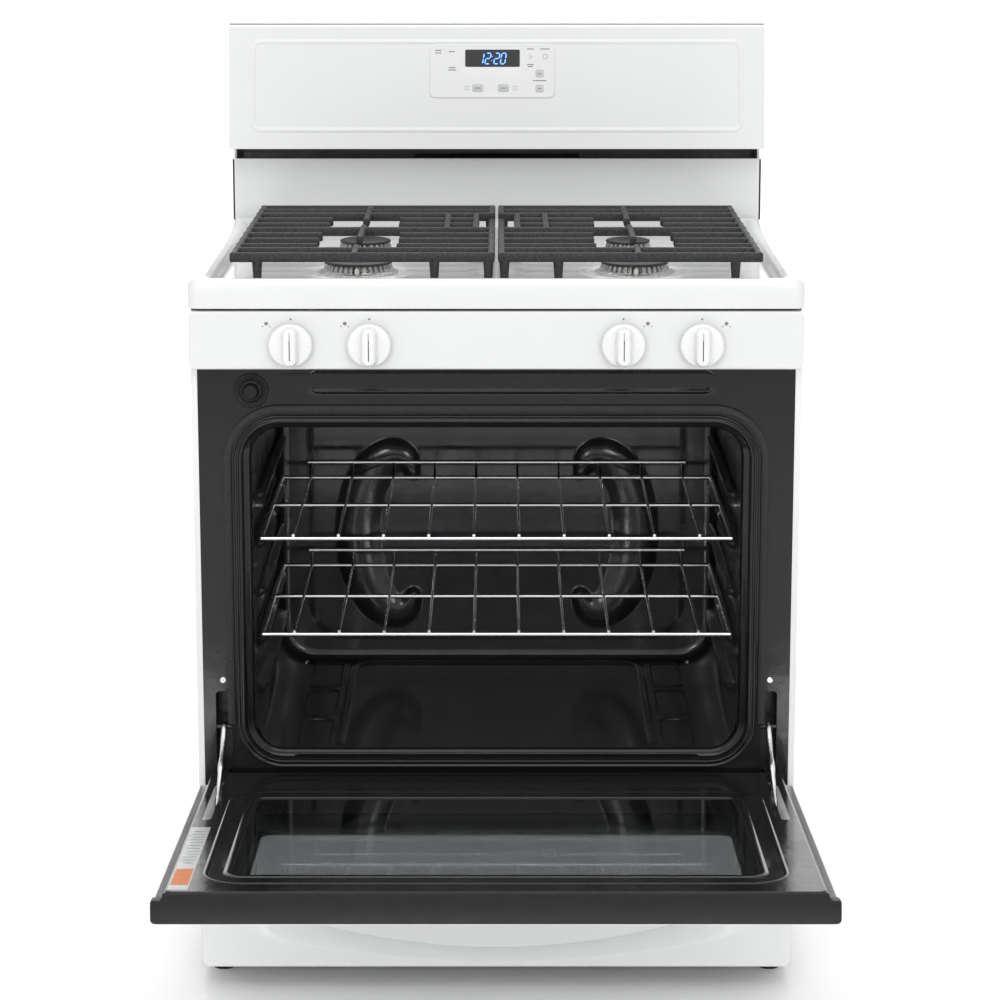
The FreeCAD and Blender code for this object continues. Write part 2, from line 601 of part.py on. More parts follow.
def rack(height):
    """Chromed oven rack: a wire frame with ten long wires and a raised rear stop."""
    side_x = HALF_CAVITY - 8.0
    front_y = FRAME_Y + 43.0
    rear_y = CAVITY_BACK_Y - 50.0
    middle_y = rear_y - 171.0
    rise = 22.0
    bend = rear_y - 24.0
    wires = []
    for x in (-side_x, side_x):
        wires.append(rod(RACK_WIRE, V(x, front_y, height), V(x, rear_y, height)))
        wires.append(Part.makeSphere(RACK_WIRE, V(x, front_y, height)))
        wires.append(Part.makeSphere(RACK_WIRE, V(x, rear_y, height)))
    for y in (front_y, middle_y, rear_y):
        wires.append(rod(RACK_WIRE, V(-side_x, y, height), V(side_x, y, height)))
    stop_x = side_x - 36.0
    wires.append(rod(RACK_WIRE, V(-stop_x, rear_y, height + rise), V(stop_x, rear_y, height + rise)))
    rung_z = height + RACK_WIRE + RACK_RUNG * 0.5
    half_pitch = (side_x - 12.0) / 10
    for index in range(10):
        x = half_pitch * (2 * index - 9)
        wires.append(rod(RACK_RUNG, V(x, front_y, rung_z), V(x, bend, rung_z)))
        wires.append(Part.makeSphere(RACK_RUNG, V(x, bend, rung_z)))
        wires.append(rod(RACK_RUNG, V(x, bend, rung_z), V(x, rear_y, height + rise)))
    return joined(wires)


# ---- Gas supply ---------------------------------------------------------------------------

def gas_pipe():
    """Supply pipe: along the front behind the valves, then back to the regulator.

    Two brackets welded to it stand on the manifold panel's lower fold.
    """
    corner = V(INLET_X, PIPE_Y, PIPE_Z)
    front = rod(PIPE_RADIUS, corner, V(SIDE - 88.5, PIPE_Y, PIPE_Z))
    elbow = Part.makeSphere(PIPE_RADIUS + 2.0, corner)
    run = rod(PIPE_RADIUS, corner, V(INLET_X, BACK_Y - REGULATOR_DEPTH - 33.0, PIPE_Z))
    low = MANIFOLD_BOTTOM + SHEET
    brackets = []
    between_knobs = (INNER_KNOB_X + OUTER_KNOB_X) / 2
    for x in (-between_knobs, between_knobs):
        brackets.append(block(x - 10, x + 10, PIPE_Y - 1, PIPE_Y + 1, low, PIPE_Z - 4))
        brackets.append(block(x - 10, x + 10, FRAME_Y, PIPE_Y + 1, low, low + 2.0))
    return joined([front, elbow, run] + brackets)


def regulator():
    """Pressure regulator at the back, with a female threaded inlet facing the wall."""
    y0 = BACK_Y - REGULATOR_DEPTH - 33.0
    body = block(INLET_X - 26, INLET_X + 26, y0, y0 + REGULATOR_DEPTH, PIPE_Z - 24, PIPE_Z + 20)
    body = body.makeFillet(6.0, edges_along(body, Y_AXIS, lambda middle: True))
    cap = rod(22.0, V(INLET_X, y0 + REGULATOR_DEPTH / 2, PIPE_Z + 20),
              V(INLET_X, y0 + REGULATOR_DEPTH / 2, PIPE_Z + 40))
    spout = rod(15.0, V(INLET_X, y0 + REGULATOR_DEPTH, PIPE_Z), V(INLET_X, BACK_Y - 6.0, PIPE_Z))
    bore = rod(INLET_RADIUS, V(INLET_X, BACK_Y - 30.0, PIPE_Z), V(INLET_X, BACK_Y, PIPE_Z))
    return joined([body, cap, spout]).cut(bore)


def gas_valves():
    """Four surface-burner valves, saddled on the supply pipe."""
    bodies = []
    for x in KNOB_X:
        y0 = FRAME_Y + 16.0
        body = block(x - 14, x + 14, y0, PIPE_Y, KNOB_HEIGHT - 13, KNOB_HEIGHT + 13)
        saddle = rod(PIPE_RADIUS + 3.0, V(x - 14, PIPE_Y, PIPE_Z), V(x + 14, PIPE_Y, PIPE_Z))
        outlet = rod(4.0, V(x, y0 + 20, KNOB_HEIGHT), V(x, y0 + 20, KNOB_HEIGHT + 24))
        pipe_bore = rod(PIPE_RADIUS + RUNNING, V(x - 20, PIPE_Y, PIPE_Z), V(x + 20, PIPE_Y, PIPE_Z))
        stem_bore = rod(STEM_RADIUS + RUNNING, V(x, y0 - 1, KNOB_HEIGHT), V(x, y0 + 14.0, KNOB_HEIGHT))
        bodies.append(joined([body, saddle, outlet]).cut([pipe_bore, stem_bore]))
    return group(bodies)


def valve_stem(x):
    """Brass valve stem with a flat, turned by its knob."""
    y0 = PANEL_Y - STEM_PROUD
    y1 = FRAME_Y + 16.0 + 14.0 - KNOB_PUSH - 1.0
    stem = rod(STEM_RADIUS, V(x, y0, KNOB_HEIGHT), V(x, y1, KNOB_HEIGHT))
    flat = block(x - 5, x + 5, y0 - 1, PANEL_Y, KNOB_HEIGHT + STEM_RADIUS * 0.6, KNOB_HEIGHT + 6)
    return stem.cut(flat)


def knob(x):
    """Control knob: a round skirt with a raised grip bar across it, bored for its stem."""
    back = PANEL_Y - KNOB_PUSH - 1.0
    skirt_front = back - KNOB_SKIRT
    face = back - KNOB_DEPTH
    bore_end = PANEL_Y - STEM_PROUD - KNOB_PUSH - 2.0
    skirt = Part.makeCone(KNOB_RADIUS, KNOB_RADIUS - 1.5, KNOB_SKIRT, V(x, back, KNOB_HEIGHT), V(0, -1, 0))
    grip = rounded_plate(x - 11, x + 11, KNOB_HEIGHT - 24.5, KNOB_HEIGHT + 24.5, 10.0, face, skirt_front)
    front_rim = [edge for edge in grip.Edges if abs(edge.BoundBox.YMax - face) < 0.01]
    grip = grip.makeFillet(3.0, front_rim)
    bore = rod(STEM_RADIUS + RUNNING, V(x, back + 1, KNOB_HEIGHT), V(x, bore_end, KNOB_HEIGHT))
    key = block(x - 5, x + 5, bore_end, back + 1, KNOB_HEIGHT + STEM_RADIUS * 0.6 + RUNNING, KNOB_HEIGHT + 6)
    return joined([skirt, grip]).cut(bore.cut(key))


def manifold_panel():
    """White front panel for the knobs: a face with folded edges and rounded ends."""
    face = rounded_plate(-SIDE, SIDE, MANIFOLD_BOTTOM, MANIFOLD_TOP, 9.0, PANEL_Y, MANIFOLD_BACK_Y)
    front = [edge for edge in face.Edges if abs(edge.BoundBox.YMax - PANEL_Y) < 0.01]
    face = face.makeFillet(3.0, front)
    hollow = rounded_plate(-SIDE + SHEET, SIDE - SHEET, MANIFOLD_BOTTOM + SHEET, MANIFOLD_TOP - SHEET,
                           8.0, PANEL_Y + SHEET, FRAME_Y + 20.0)
    cutters = [hollow]
    for x in KNOB_X:
        cutters.append(rod(STEM_RADIUS + 2.0, V(x, PANEL_Y - 5, KNOB_HEIGHT), V(x, PANEL_Y + 5, KNOB_HEIGHT)))
    return face.cut(cutters)


# ---- Cooktop ------------------------------------------------------------------------------

def cooktop():
    """Pressed cooktop: rolled rim, recessed pan, a hole for each burner."""
    half = COOKTOP_WIDTH / 2
    y0 = PANEL_Y - 1.0
    y1 = RISER_Y
    bottom = COOKTOP_HEIGHT - COOKTOP_LIP
    outer = block(-half, half, y0, y1, bottom, COOKTOP_HEIGHT)
    corners = edges_along(outer, Z_AXIS, lambda middle: middle.y < y0 + 1)
    outer = outer.makeFillet(14.0, corners)
    rim = [edge for edge in outer.Edges
           if edge.BoundBox.ZMin > COOKTOP_HEIGHT - 0.01 and edge.BoundBox.YMin < y1 - 1]
    outer = outer.makeFillet(11.0, rim)
    sheet = PRESSING
    inner = block(-half + sheet, half - sheet, y0 + sheet, y1 - sheet, bottom - 1, COOKTOP_HEIGHT - sheet)
    corners = edges_along(inner, Z_AXIS, lambda middle: middle.y < y0 + 5)
    inner = inner.makeFillet(13.0, corners)
    crown = [edge for edge in inner.Edges
             if edge.BoundBox.ZMin > COOKTOP_HEIGHT - sheet - 0.01 and edge.BoundBox.YMin < y1 - 5]
    inner = inner.makeFillet(9.5, crown)
    pan = pan_recess(0.0, COOKTOP_HEIGHT + 1, PAN_Z)
    under = pan_recess(sheet, COOKTOP_HEIGHT + 1, PAN_Z - sheet)
    shell = outer.cut(pan).cut(inner.cut(under))
    holes = [rod(THROAT_RADIUS + 1.0, V(x, y, PAN_Z - 10), V(x, y, PAN_Z + 10)) for x, y, cap in BURNERS]
    return shell.cut(holes)


def pan_recess(grow, top, bottom):
    """Block that forms the cooktop's recess, with rounded corners."""
    half = COOKTOP_WIDTH / 2 - PAN_RIM + grow
    y0 = PANEL_Y + PAN_RIM - 8.0 - grow
    y1 = RISER_Y - 22.0 + grow
    recess = block(-half, half, y0, y1, bottom, top)
    return recess.makeFillet(26.0 + grow, edges_along(recess, Z_AXIS, lambda middle: True))


def burner_bases():
    """Cast burner bases: a dish on the cooktop and a mixing cup below it."""
    bases = []
    for x, y, cap in BURNERS:
        flange_low = Part.makeCone(cap + BASE_FLANGE, cap + 1.0, BASE_HEIGHT, V(x, y, PAN_Z))
        throat = rod(THROAT_RADIUS, V(x, y, PAN_Z - 42.0), V(x, y, PAN_Z))
        bore = rod(THROAT_RADIUS - 3.0, V(x, y, PAN_Z - 38.0), V(x, y, PAN_Z + 5))
        bases.append(joined([flange_low, throat]).cut(bore))
    return group(bases)


def burner_heads():
    """Aluminium burner heads, slotted all round for the flames."""
    heads = []
    for x, y, cap in BURNERS:
        low = PAN_Z + BASE_HEIGHT
        head = Part.makeCone(cap + 1.0, cap - 2.0, HEAD_HEIGHT, V(x, y, low))
        head = head.cut(rod(THROAT_RADIUS - 3.0, V(x, y, low - 1), V(x, y, low + HEAD_HEIGHT - 2.0)))
        slots = []
        count = int(cap * 0.8)
        for index in range(count):
            angle = (index + 0.5) * 360.0 / count
            slot = block(cap - 6.0, cap + 5.0, -0.9, 0.9, low + 2.5, low + HEAD_HEIGHT + 1)
            slot.rotate(V(0, 0, 0), Z_AXIS, angle)
            slot.translate(V(x, y, 0))
            slots.append(slot)
        notch = block(-5.0, 5.0, -cap - 5.0, -cap + 7.0, low - 1, low + HEAD_HEIGHT + 1)
        notch.translate(V(x, y, 0))
        heads.append(head.cut(slots + [notch]))
    return group(heads)


def burner_caps():
    """Black enamelled caps, slightly domed."""
    caps = []
    for x, y, cap in BURNERS:
        low = PAN_Z + BASE_HEIGHT + HEAD_HEIGHT
        disc = Part.makeCylinder(cap, CAP_HEIGHT, V(x, y, low))
        top = [edge for edge in disc.Edges if edge.Closed and edge.BoundBox.ZMin > low + CAP_HEIGHT - 0.01]
        caps.append(disc.makeFillet(2.4, top))
    return group(caps)


def spark_igniters():
    """White ceramic igniters, one in the front notch of each burner head."""
    pins = []
    for x, y, cap in BURNERS:
        y0 = y - cap + 1.5
        low = PAN_Z + BASE_HEIGHT
        body = rod(3.0, V(x, y0, low), V(x, y0, low + HEAD_HEIGHT - 2.5))
        tip = rod(1.0, V(x, y0, low), V(x, y0, low + HEAD_HEIGHT - 0.5))
        pins.append(joined([body, tip]))
    return group(pins)


def grate(side):
    """Cast-iron grate over one front and one rear burner."""
    inner = GRATE_GAP / 2
    outer = inner + GRATE_WIDTH
    front = FRAME_Y + GRATE_FRONT
    back = front + GRATE_DEPTH
    low = GRATE_TOP - GRATE_BAR_HEIGHT
    half = GRATE_BAR / 2

    def place(fraction):
        return back - half - fraction * (GRATE_DEPTH - GRATE_BAR)

    def across(x0, x1, fraction, bottom=low, top=GRATE_TOP):
        return block(x0, x1, place(fraction) - half, place(fraction) + half, bottom, top)

    def along(x, rear_fraction, front_fraction, bottom=low, top=GRATE_TOP):
        return block(x - half, x + half, place(front_fraction) - half, place(rear_fraction) + half, bottom, top)

    pieces = [across(inner, outer, fraction) for fraction in FULL_BARS]
    for fraction, gap in SPLIT_BARS:
        pieces.append(across(inner + 24.0 if fraction < 0.49 else inner, BURNER_X - gap, fraction))
        pieces.append(across(BURNER_X + gap, outer, fraction))
    pieces.append(along(outer - half, 0.0, 1.0))
    pieces.append(along(inner + half, 0.0, 0.165))
    pieces.append(along(inner + half, 0.49, 1.0))
    pieces.append(along(inner + half, 0.165, 0.49, low, GRATE_TOP - 7.0))
    pieces.append(along(inner + 64.0, 0.165, 0.49))
    pieces.append(along(inner + 26.0, 0.165, 0.49))
    pieces.append(along(BURNER_X, 0.0, 0.29))
    pieces.append(along(BURNER_X, 0.44, 0.68))
    pieces.append(along(BURNER_X, 0.85, 1.0))
    for x in (outer - 34.0, inner + 75.0, inner + 7.0):
        for fraction in (0.0, 1.0):
            y = place(fraction)
            foot = Part.makeCone(5.0, 7.5, GRATE_TOP - 6.0 - PAN_Z - CLEARANCE, V(x, y, PAN_Z + CLEARANCE))
            pieces.append(foot.common(block(x - 7, x + 7, y - half, y + half, PAN_Z, GRATE_TOP)))
    shape = joined(pieces)
    return shape if side > 0 else mirrored(shape)


# ---- Backguard ----------------------------------------------------------------------------

def backguard_riser():
    """White riser behind the cooktop, hollow, open behind and below."""
    outer = block(-SIDE, SIDE, RISER_Y, BACK_Y - SHEET, COOKTOP_HEIGHT - COOKTOP_LIP, SLOT_BOTTOM)
    outer = outer.makeFillet(8.0, edges_along(outer, Z_AXIS, lambda middle: middle.y < RISER_Y + 1))
    inner = block(-SIDE + SHEET, SIDE - SHEET, RISER_Y + SHEET, BACK_Y, 0, SLOT_BOTTOM - SHEET)
    vent = block(-FLUE_HALF, FLUE_HALF, RISER_Y + 8.0, BACK_Y, SLOT_BOTTOM - 5, SLOT_BOTTOM + 5)
    return outer.cut([inner, vent])


def console_outline(offset):
    """Side outline of the console, moved inwards by an offset."""
    y1 = BACK_Y - SHEET
    z0 = CONSOLE_BOTTOM + offset
    z1 = TOTAL_HEIGHT - offset
    shift = offset / math.cos(CONSOLE_RAKE)
    foot = CONSOLE_FRONT + shift + offset * math.tan(CONSOLE_RAKE)
    head = BACK_Y - CONSOLE_HEAD + shift - offset * math.tan(CONSOLE_RAKE)
    return [(foot, z0), (head, z1), (y1 + (1 if offset else 0), z1), (y1 + (1 if offset else 0), z0)]


def console_shell():
    """White console: one folded shell, open at the back, with a window for the board."""
    outer = profile_along_x(console_outline(0.0), -SIDE, SIDE)
    top_front = edges_along(outer, X_AXIS,
                            lambda middle: middle.z > TOTAL_HEIGHT - 1 and middle.y < BACK_Y - 20)
    outer = outer.makeFillet(8.0, top_front)
    inner = profile_along_x(console_outline(SHEET), -SIDE + SHEET, SIDE - SHEET)
    return outer.cut([inner, on_console(-KEYPAD_W / 2 + 8, KEYPAD_W / 2 - 8, -KEYPAD_H / 2 + 8,
                                        KEYPAD_H / 2 - 8, 3.0, -3.0, 3.0)])


def console_back():
    """Flat cover that closes the back of the console."""
    return block(-SIDE, SIDE, BACK_Y - SHEET, BACK_Y, SLOT_BOTTOM, TOTAL_HEIGHT)


def on_console(x0, x1, v0, v1, radius, n0, n1):
    """Rounded plate laid on the console's raked face; v runs up the face, n out of it."""
    plate = rounded_plate(x0, x1, v0, v1, radius, -n1, -n0)
    plate.rotate(V(0, 0, 0), X_AXIS, -math.degrees(CONSOLE_RAKE))
    y = CONSOLE_FRONT + (KEYPAD_Z - CONSOLE_BOTTOM) * math.tan(CONSOLE_RAKE)
    plate.translate(V(KEYPAD_X, y, KEYPAD_Z))
    return plate


def control_keypad():
    """Keypad plate on the console's face, with the display's window cut through it."""
    plate = on_console(-KEYPAD_W / 2, KEYPAD_W / 2, -KEYPAD_H / 2, KEYPAD_H / 2, 7.0, 0.0, 1.6)
    window = on_console(DISPLAY_X0, DISPLAY_X1, DISPLAY_V0, DISPLAY_V1, 2.0, -5.0, 5.0)
    return plate.cut(window)


def display_window():
    """Dark display pane in the keypad's window."""
    return on_console(DISPLAY_X0 + 0.1, DISPLAY_X1 - 0.1, DISPLAY_V0 + 0.1, DISPLAY_V1 - 0.1, 1.9, -3.0, 1.3)


def control_board():
    """Oven control board behind the keypad, standing on the pane's frame."""
    board = on_console(-75.0, 75.0, -34.0, 34.0, 3.0, -12.0, -10.4)
    frame = on_console(DISPLAY_X0 + 2, DISPLAY_X1 - 2, DISPLAY_V0 + 2, DISPLAY_V1 - 2, 1.0, -10.4, -3.0)
    return joined([board, frame])


def flue_duct():
    """Black flue: a duct up the back of the oven into a full-width slot under the console."""
    sheet = 1.0
    reach = SIDE - 7.0
    y0 = RISER_Y + 8.0
    y1 = BACK_Y - SHEET
    duct_low = CAVITY_TOP + 60.0
    duct = block(-FLUE_HALF + 0.5, FLUE_HALF - 0.5, y0 + 0.5, y1, duct_low, SLOT_BOTTOM)
    bore = block(-FLUE_HALF + 1.5, FLUE_HALF - 1.5, y0 + 1.5, y1 - sheet, duct_low - 1, SLOT_BOTTOM + 5)
    floor = block(-reach, reach, RISER_Y + 2.0, y1, SLOT_BOTTOM, SLOT_BOTTOM + sheet)
    roof = block(-reach, reach, RISER_Y - 2.0, y1, CONSOLE_BOTTOM - sheet, CONSOLE_BOTTOM)
    back = block(-reach, reach, y1 - sheet, y1, SLOT_BOTTOM, CONSOLE_BOTTOM)
    ends = pair(block(reach - 2.0, reach, RISER_Y + 2.0, y1, SLOT_BOTTOM, CONSOLE_BOTTOM))
    return joined([duct, floor, roof, back] + ends).cut(bore)


# ---- Door: drawn closed, then swung open about its pivot ----------------------------------

def door_block(x0, x1, s0, s1, n0, n1, radius=0.0):
    """Plate of the closed door; s runs up from the pivot, n from the pivot to the oven."""
    y0 = PIVOT.y + n0
    y1 = PIVOT.y + n1
    z0 = PIVOT.z + s0
    z1 = PIVOT.z + s1
    if radius:
        return rounded_plate(x0, x1, z0, z1, radius, y0, y1)
    return block(x0, x1, y0, y1, z0, z1)


def opened(shape):
    result = shape.copy()
    result.rotate(PIVOT, X_AXIS, DOOR_OPEN)
    return result


def door_skin():
    """White outer panel of the door: a shallow tray with a window and a hand scoop."""
    half = DOOR_WIDTH / 2
    top = DOOR_LENGTH - TRIM_LENGTH
    tray = door_block(-half, half, -DOOR_HEEL, top, DOOR_OUTSIDE, DOOR_SPLIT)
    outer_edges = [edge for edge in tray.Edges if abs(edge.BoundBox.YMax - PIVOT.y - DOOR_OUTSIDE) < 0.01]
    tray = tray.makeFillet(4.0, outer_edges)
    inside = door_block(-half + SHEET, half - SHEET, -DOOR_HEEL + SHEET, top - SHEET,
                        DOOR_OUTSIDE + SHEET, DOOR_SPLIT + 1)
    pocket = door_block(-HANDLE_HALF - SHEET, HANDLE_HALF + SHEET, SCOOP_START - SHEET, SCOOP_END + SHEET,
                        DOOR_OUTSIDE + SHEET, DOOR_OUTSIDE + SCOOP_DEPTH + SHEET)
    scoop = door_block(-HANDLE_HALF, HANDLE_HALF, SCOOP_START, SCOOP_END, DOOR_OUTSIDE - 1,
                       DOOR_OUTSIDE + SCOOP_DEPTH)
    window = door_block(-WINDOW_WIDTH / 2, WINDOW_WIDTH / 2, WINDOW_START, WINDOW_START + WINDOW_LENGTH,
                        DOOR_OUTSIDE - 1, DOOR_OUTSIDE + 5, 14.0)
    notches = pair(door_block(LINK_X - LINK_SLOT_HALF, LINK_X + LINK_SLOT_HALF, -DOOR_HEEL - 1, 0.0,
                              DOOR_SPLIT - 5.0, DOOR_SPLIT + 1))
    return opened(tray.cut(inside.cut(pocket)).cut([scoop, window] + notches))


def door_glass():
    """Outer window pane, held behind the skin."""
    margin_side = 12.0
    margin_far = 4.0
    return opened(door_block(-WINDOW_WIDTH / 2 - margin_side, WINDOW_WIDTH / 2 + margin_side,
                             WINDOW_START - margin_side, WINDOW_START + WINDOW_LENGTH + margin_far,
                             DOOR_OUTSIDE + SHEET, DOOR_OUTSIDE + SHEET + GLASS, 8.0))


def door_liner():
    """Black inner panel of the door: a tray with the window and two hinge slots.

    Beside each slot stand two ears with the pivot pin that the cabinet's hinge arm carries.
    """
    half = LINER_WIDTH / 2
    heel = -DOOR_HEEL + 2.0
    top = DOOR_LENGTH - TRIM_LENGTH
    tray = door_block(-half, half, heel, top, DOOR_SPLIT, DOOR_INSIDE, 10.0)
    rim = [edge for edge in tray.Edges if abs(edge.BoundBox.YMin - PIVOT.y - DOOR_INSIDE) < 0.01]
    tray = tray.makeFillet(3.0, rim)
    inside = door_block(-half + SHEET, half - SHEET, heel + SHEET, top - SHEET, DOOR_SPLIT - 1,
                        DOOR_INSIDE - SHEET, 8.8)
    window = door_block(-INNER_GLASS_WIDTH / 2 + 8, INNER_GLASS_WIDTH / 2 - 8, INNER_GLASS_START + 8,
                        INNER_GLASS_START + INNER_GLASS_LENGTH - 8, 0.0, DOOR_INSIDE + 1, 12.0)
    slot = door_block(LINK_X - LINK_SLOT_HALF, LINK_X + LINK_SLOT_HALF, -DOOR_HEEL - 10.0, LINK_SLOT_END,
                      DOOR_SPLIT - 1, DOOR_INSIDE + 1, 4.0)
    ear = door_block(LINK_X + LINK_SLOT_HALF, LINK_X + LINK_SLOT_HALF + 2.0, heel + SHEET, 9.0,
                     -7.0, DOOR_INSIDE - SHEET)
    other_ear = door_block(LINK_X - LINK_SLOT_HALF - 2.0, LINK_X - LINK_SLOT_HALF, heel + SHEET, 9.0,
                           -7.0, DOOR_INSIDE - SHEET)
    pin = rod(DOOR_PIN_RADIUS, V(LINK_X - LINK_SLOT_HALF - 1, PIVOT.y, PIVOT.z),
              V(LINK_X + LINK_SLOT_HALF + 1, PIVOT.y, PIVOT.z))
    panel = joined([tray.cut([inside, window] + pair(slot))] + pair(ear) + pair(other_ear) + pair(pin))
    return opened(panel)


def door_inner_glass():
    """Inner window pane, held under the liner's window edge."""
    top = DOOR_INSIDE - SHEET
    return opened(door_block(-INNER_GLASS_WIDTH / 2, INNER_GLASS_WIDTH / 2, INNER_GLASS_START,
                             INNER_GLASS_START + INNER_GLASS_LENGTH, top - GLASS, top, 14.0))


def door_trim():
    """Black trim that caps the door's far end, with a rounded lobe at each corner."""
    half = DOOR_WIDTH / 2
    start = DOOR_LENGTH - TRIM_LENGTH
    bar = door_block(-half, half, start, DOOR_LENGTH, DOOR_OUTSIDE, DOOR_INSIDE)
    bar = bar.makeFillet(2.0, edges_along(bar, X_AXIS, lambda middle: middle.z > PIVOT.z + DOOR_LENGTH - 1))
    lobe = door_block(half - 12.0, half, start - 14.0, start, DOOR_SPLIT, DOOR_INSIDE - 4.0)
    return opened(joined([bar] + pair(lobe)))


def door_handle():
    """Low pull bar across the scoop, standing on two end posts."""
    front = DOOR_OUTSIDE - HANDLE_PROUD
    s0 = SCOOP_START + 6.0
    s1 = s0 + 22.0
    bar = door_block(-HANDLE_HALF + 1, HANDLE_HALF - 1, s0, s1, front, front + 9.0)
    bar = bar.makeFillet(3.5, edges_along(bar, X_AXIS, lambda middle: True))
    post = door_block(HANDLE_HALF - 25.0, HANDLE_HALF - 1, s0 + 4, s1 - 4, front + 4.0,
                      DOOR_OUTSIDE + SCOOP_DEPTH)
    return opened(joined([bar] + pair(post)))


def hinge_links():
    """Two flat hinge links from the cabinet's pins into the slots of the open door."""
    door_s = V(0, -math.cos(TILT), math.sin(TILT))
    door_n = V(0, math.sin(TILT), math.cos(TILT))
    end = PIVOT + door_s * LINK_END_S + door_n * LINK_END_N
    along = (end - LINK_PIN).normalize()
    wide = X_AXIS.cross(along)
    half = LINK_WIDTH / 2
    x0 = LINK_X - LINK_THICKNESS / 2
    corners = [LINK_PIN + wide * half, end + wide * half * 0.9, end - wide * half * 0.9, LINK_PIN - wide * half]
    corners = [V(x0, corner.y, corner.z) for corner in corners]
    bar = Part.Face(Part.makePolygon(corners + corners[:1])).extrude(V(LINK_THICKNESS, 0, 0))
    span = V(LINK_THICKNESS, 0, 0)
    start_round = rod(half, V(x0, LINK_PIN.y, LINK_PIN.z), V(x0, LINK_PIN.y, LINK_PIN.z) + span)
    end_round = rod(half * 0.9, V(x0, end.y, end.z), V(x0, end.y, end.z) + span)
    hole = rod(LINK_PIN_RADIUS + RUNNING, V(x0 - 1, LINK_PIN.y, LINK_PIN.z),
               V(x0 + LINK_THICKNESS + 1, LINK_PIN.y, LINK_PIN.z))
    return group(pair(joined([bar, start_round, end_round]).cut(hole)))


# ---- Drawer -------------------------------------------------------------------------------

def drawer_front():
    """White drawer front with a smile-shaped finger pull pressed into its lower half."""
    half = DRAWER_WIDTH / 2
    back = DRAWER_FACE_Y + DRAWER_FRONT_DEPTH
    front = rounded_plate(-half, half, DRAWER_BOTTOM, DRAWER_TOP, 9.0, DRAWER_FACE_Y, back)
    rim = [edge for edge in front.Edges if abs(edge.BoundBox.YMax - DRAWER_FACE_Y) < 0.01]
    front = front.makeFillet(4.0, rim)
    start = DRAWER_FACE_Y - 1.0
    floor = DRAWER_FACE_Y + PULL_DEPTH
    above = rod(PULL_RADIUS, V(0, start, PULL_HEIGHT + PULL_RADIUS), V(0, floor, PULL_HEIGHT + PULL_RADIUS))
    lip_z = PULL_LIP_HEIGHT + PULL_LIP_RADIUS
    below = rod(PULL_LIP_RADIUS, V(0, start, lip_z), V(0, floor, lip_z))
    band = below.cut(above).common(block(-330.0, 330.0, start, floor, DRAWER_BOTTOM, 130.0))
    return front.cut(band)


def drawer_box():
    """Drawer tray behind the front, open at the top, sliding on the base rails."""
    half = SIDE - SHEET - 12.0
    y0 = DRAWER_FACE_Y + DRAWER_FRONT_DEPTH
    y1 = BACK_Y - 122.0
    low = RAIL_TOP + CLEARANCE
    high = DRAWER_TOP - 30.0
    tray = block(-half, half, y0, y1, low, high)
    return tray.cut(block(-half + SHEET, half - SHEET, y0 + SHEET, y1 - SHEET, low + SHEET, high + 1))


# ---- Export -------------------------------------------------------------------------------

NODES = {
    "base_rails": base_rails,
    "base_cross_members": base_cross_members,
    "side_panel_right": side_panel,
    "side_panel_left": lambda: mirrored(side_panel()),
    "back_panel": back_panel,
    "front_frame": front_frame,
    "hinge_receivers": hinge_receivers,
    "door_gasket": door_gasket,
    "switch_housing": switch_housing,
    "switch_plunger": switch_plunger,
    "screws": screws,
    "oven_liner": oven_liner,
    "oven_floor_panel": oven_floor_panel,
    "burner_box": burner_box,
    "oven_burner": oven_burner,
    "oven_igniter": oven_igniter,
    "temperature_probe": temperature_probe,
    "oven_lamp": oven_lamp,
    "insulation": insulation,
    "rack_lower": lambda: rack(RACK_LOW),
    "rack_upper": lambda: rack(RACK_HIGH),
    "gas_pipe": gas_pipe,
    "regulator": regulator,
    "gas_valves": gas_valves,
    "manifold_panel": manifold_panel,
    "cooktop": cooktop,
    "burner_bases": burner_bases,
    "burner_heads": burner_heads,
    "burner_caps": burner_caps,
    "spark_igniters": spark_igniters,
    "grate_left": lambda: grate(-1),
    "grate_right": lambda: grate(1),
    "backguard_riser": backguard_riser,
    "console_shell": console_shell,
    "console_back": console_back,
    "control_keypad": control_keypad,
    "display_window": display_window,
    "control_board": control_board,
    "flue_duct": flue_duct,
    "door_skin": door_skin,
    "door_glass": door_glass,
    "door_liner": door_liner,
    "door_inner_glass": door_inner_glass,
    "door_trim": door_trim,
    "door_handle": door_handle,
    "hinge_links": hinge_links,
    "drawer_front": drawer_front,
    "drawer_box": drawer_box,
}
for number, x in enumerate(KNOB_X, 1):
    NODES["valve_stem_%d" % number] = lambda x=x: valve_stem(x)
    NODES["knob_%d" % number] = lambda x=x: knob(x)
for number, (x, y) in enumerate([(x, y) for y in LEG_Y for x in (-LEG_X, LEG_X)], 1):
    NODES["leg_%d" % number] = lambda x=x, y=y: leg(x, y)

for name, make in NODES.items():
    shape = make()
    if not shape.isValid():
        raise ValueError(name + " is not a valid solid")
    shape.exportStep("parts/%s.step" % name)
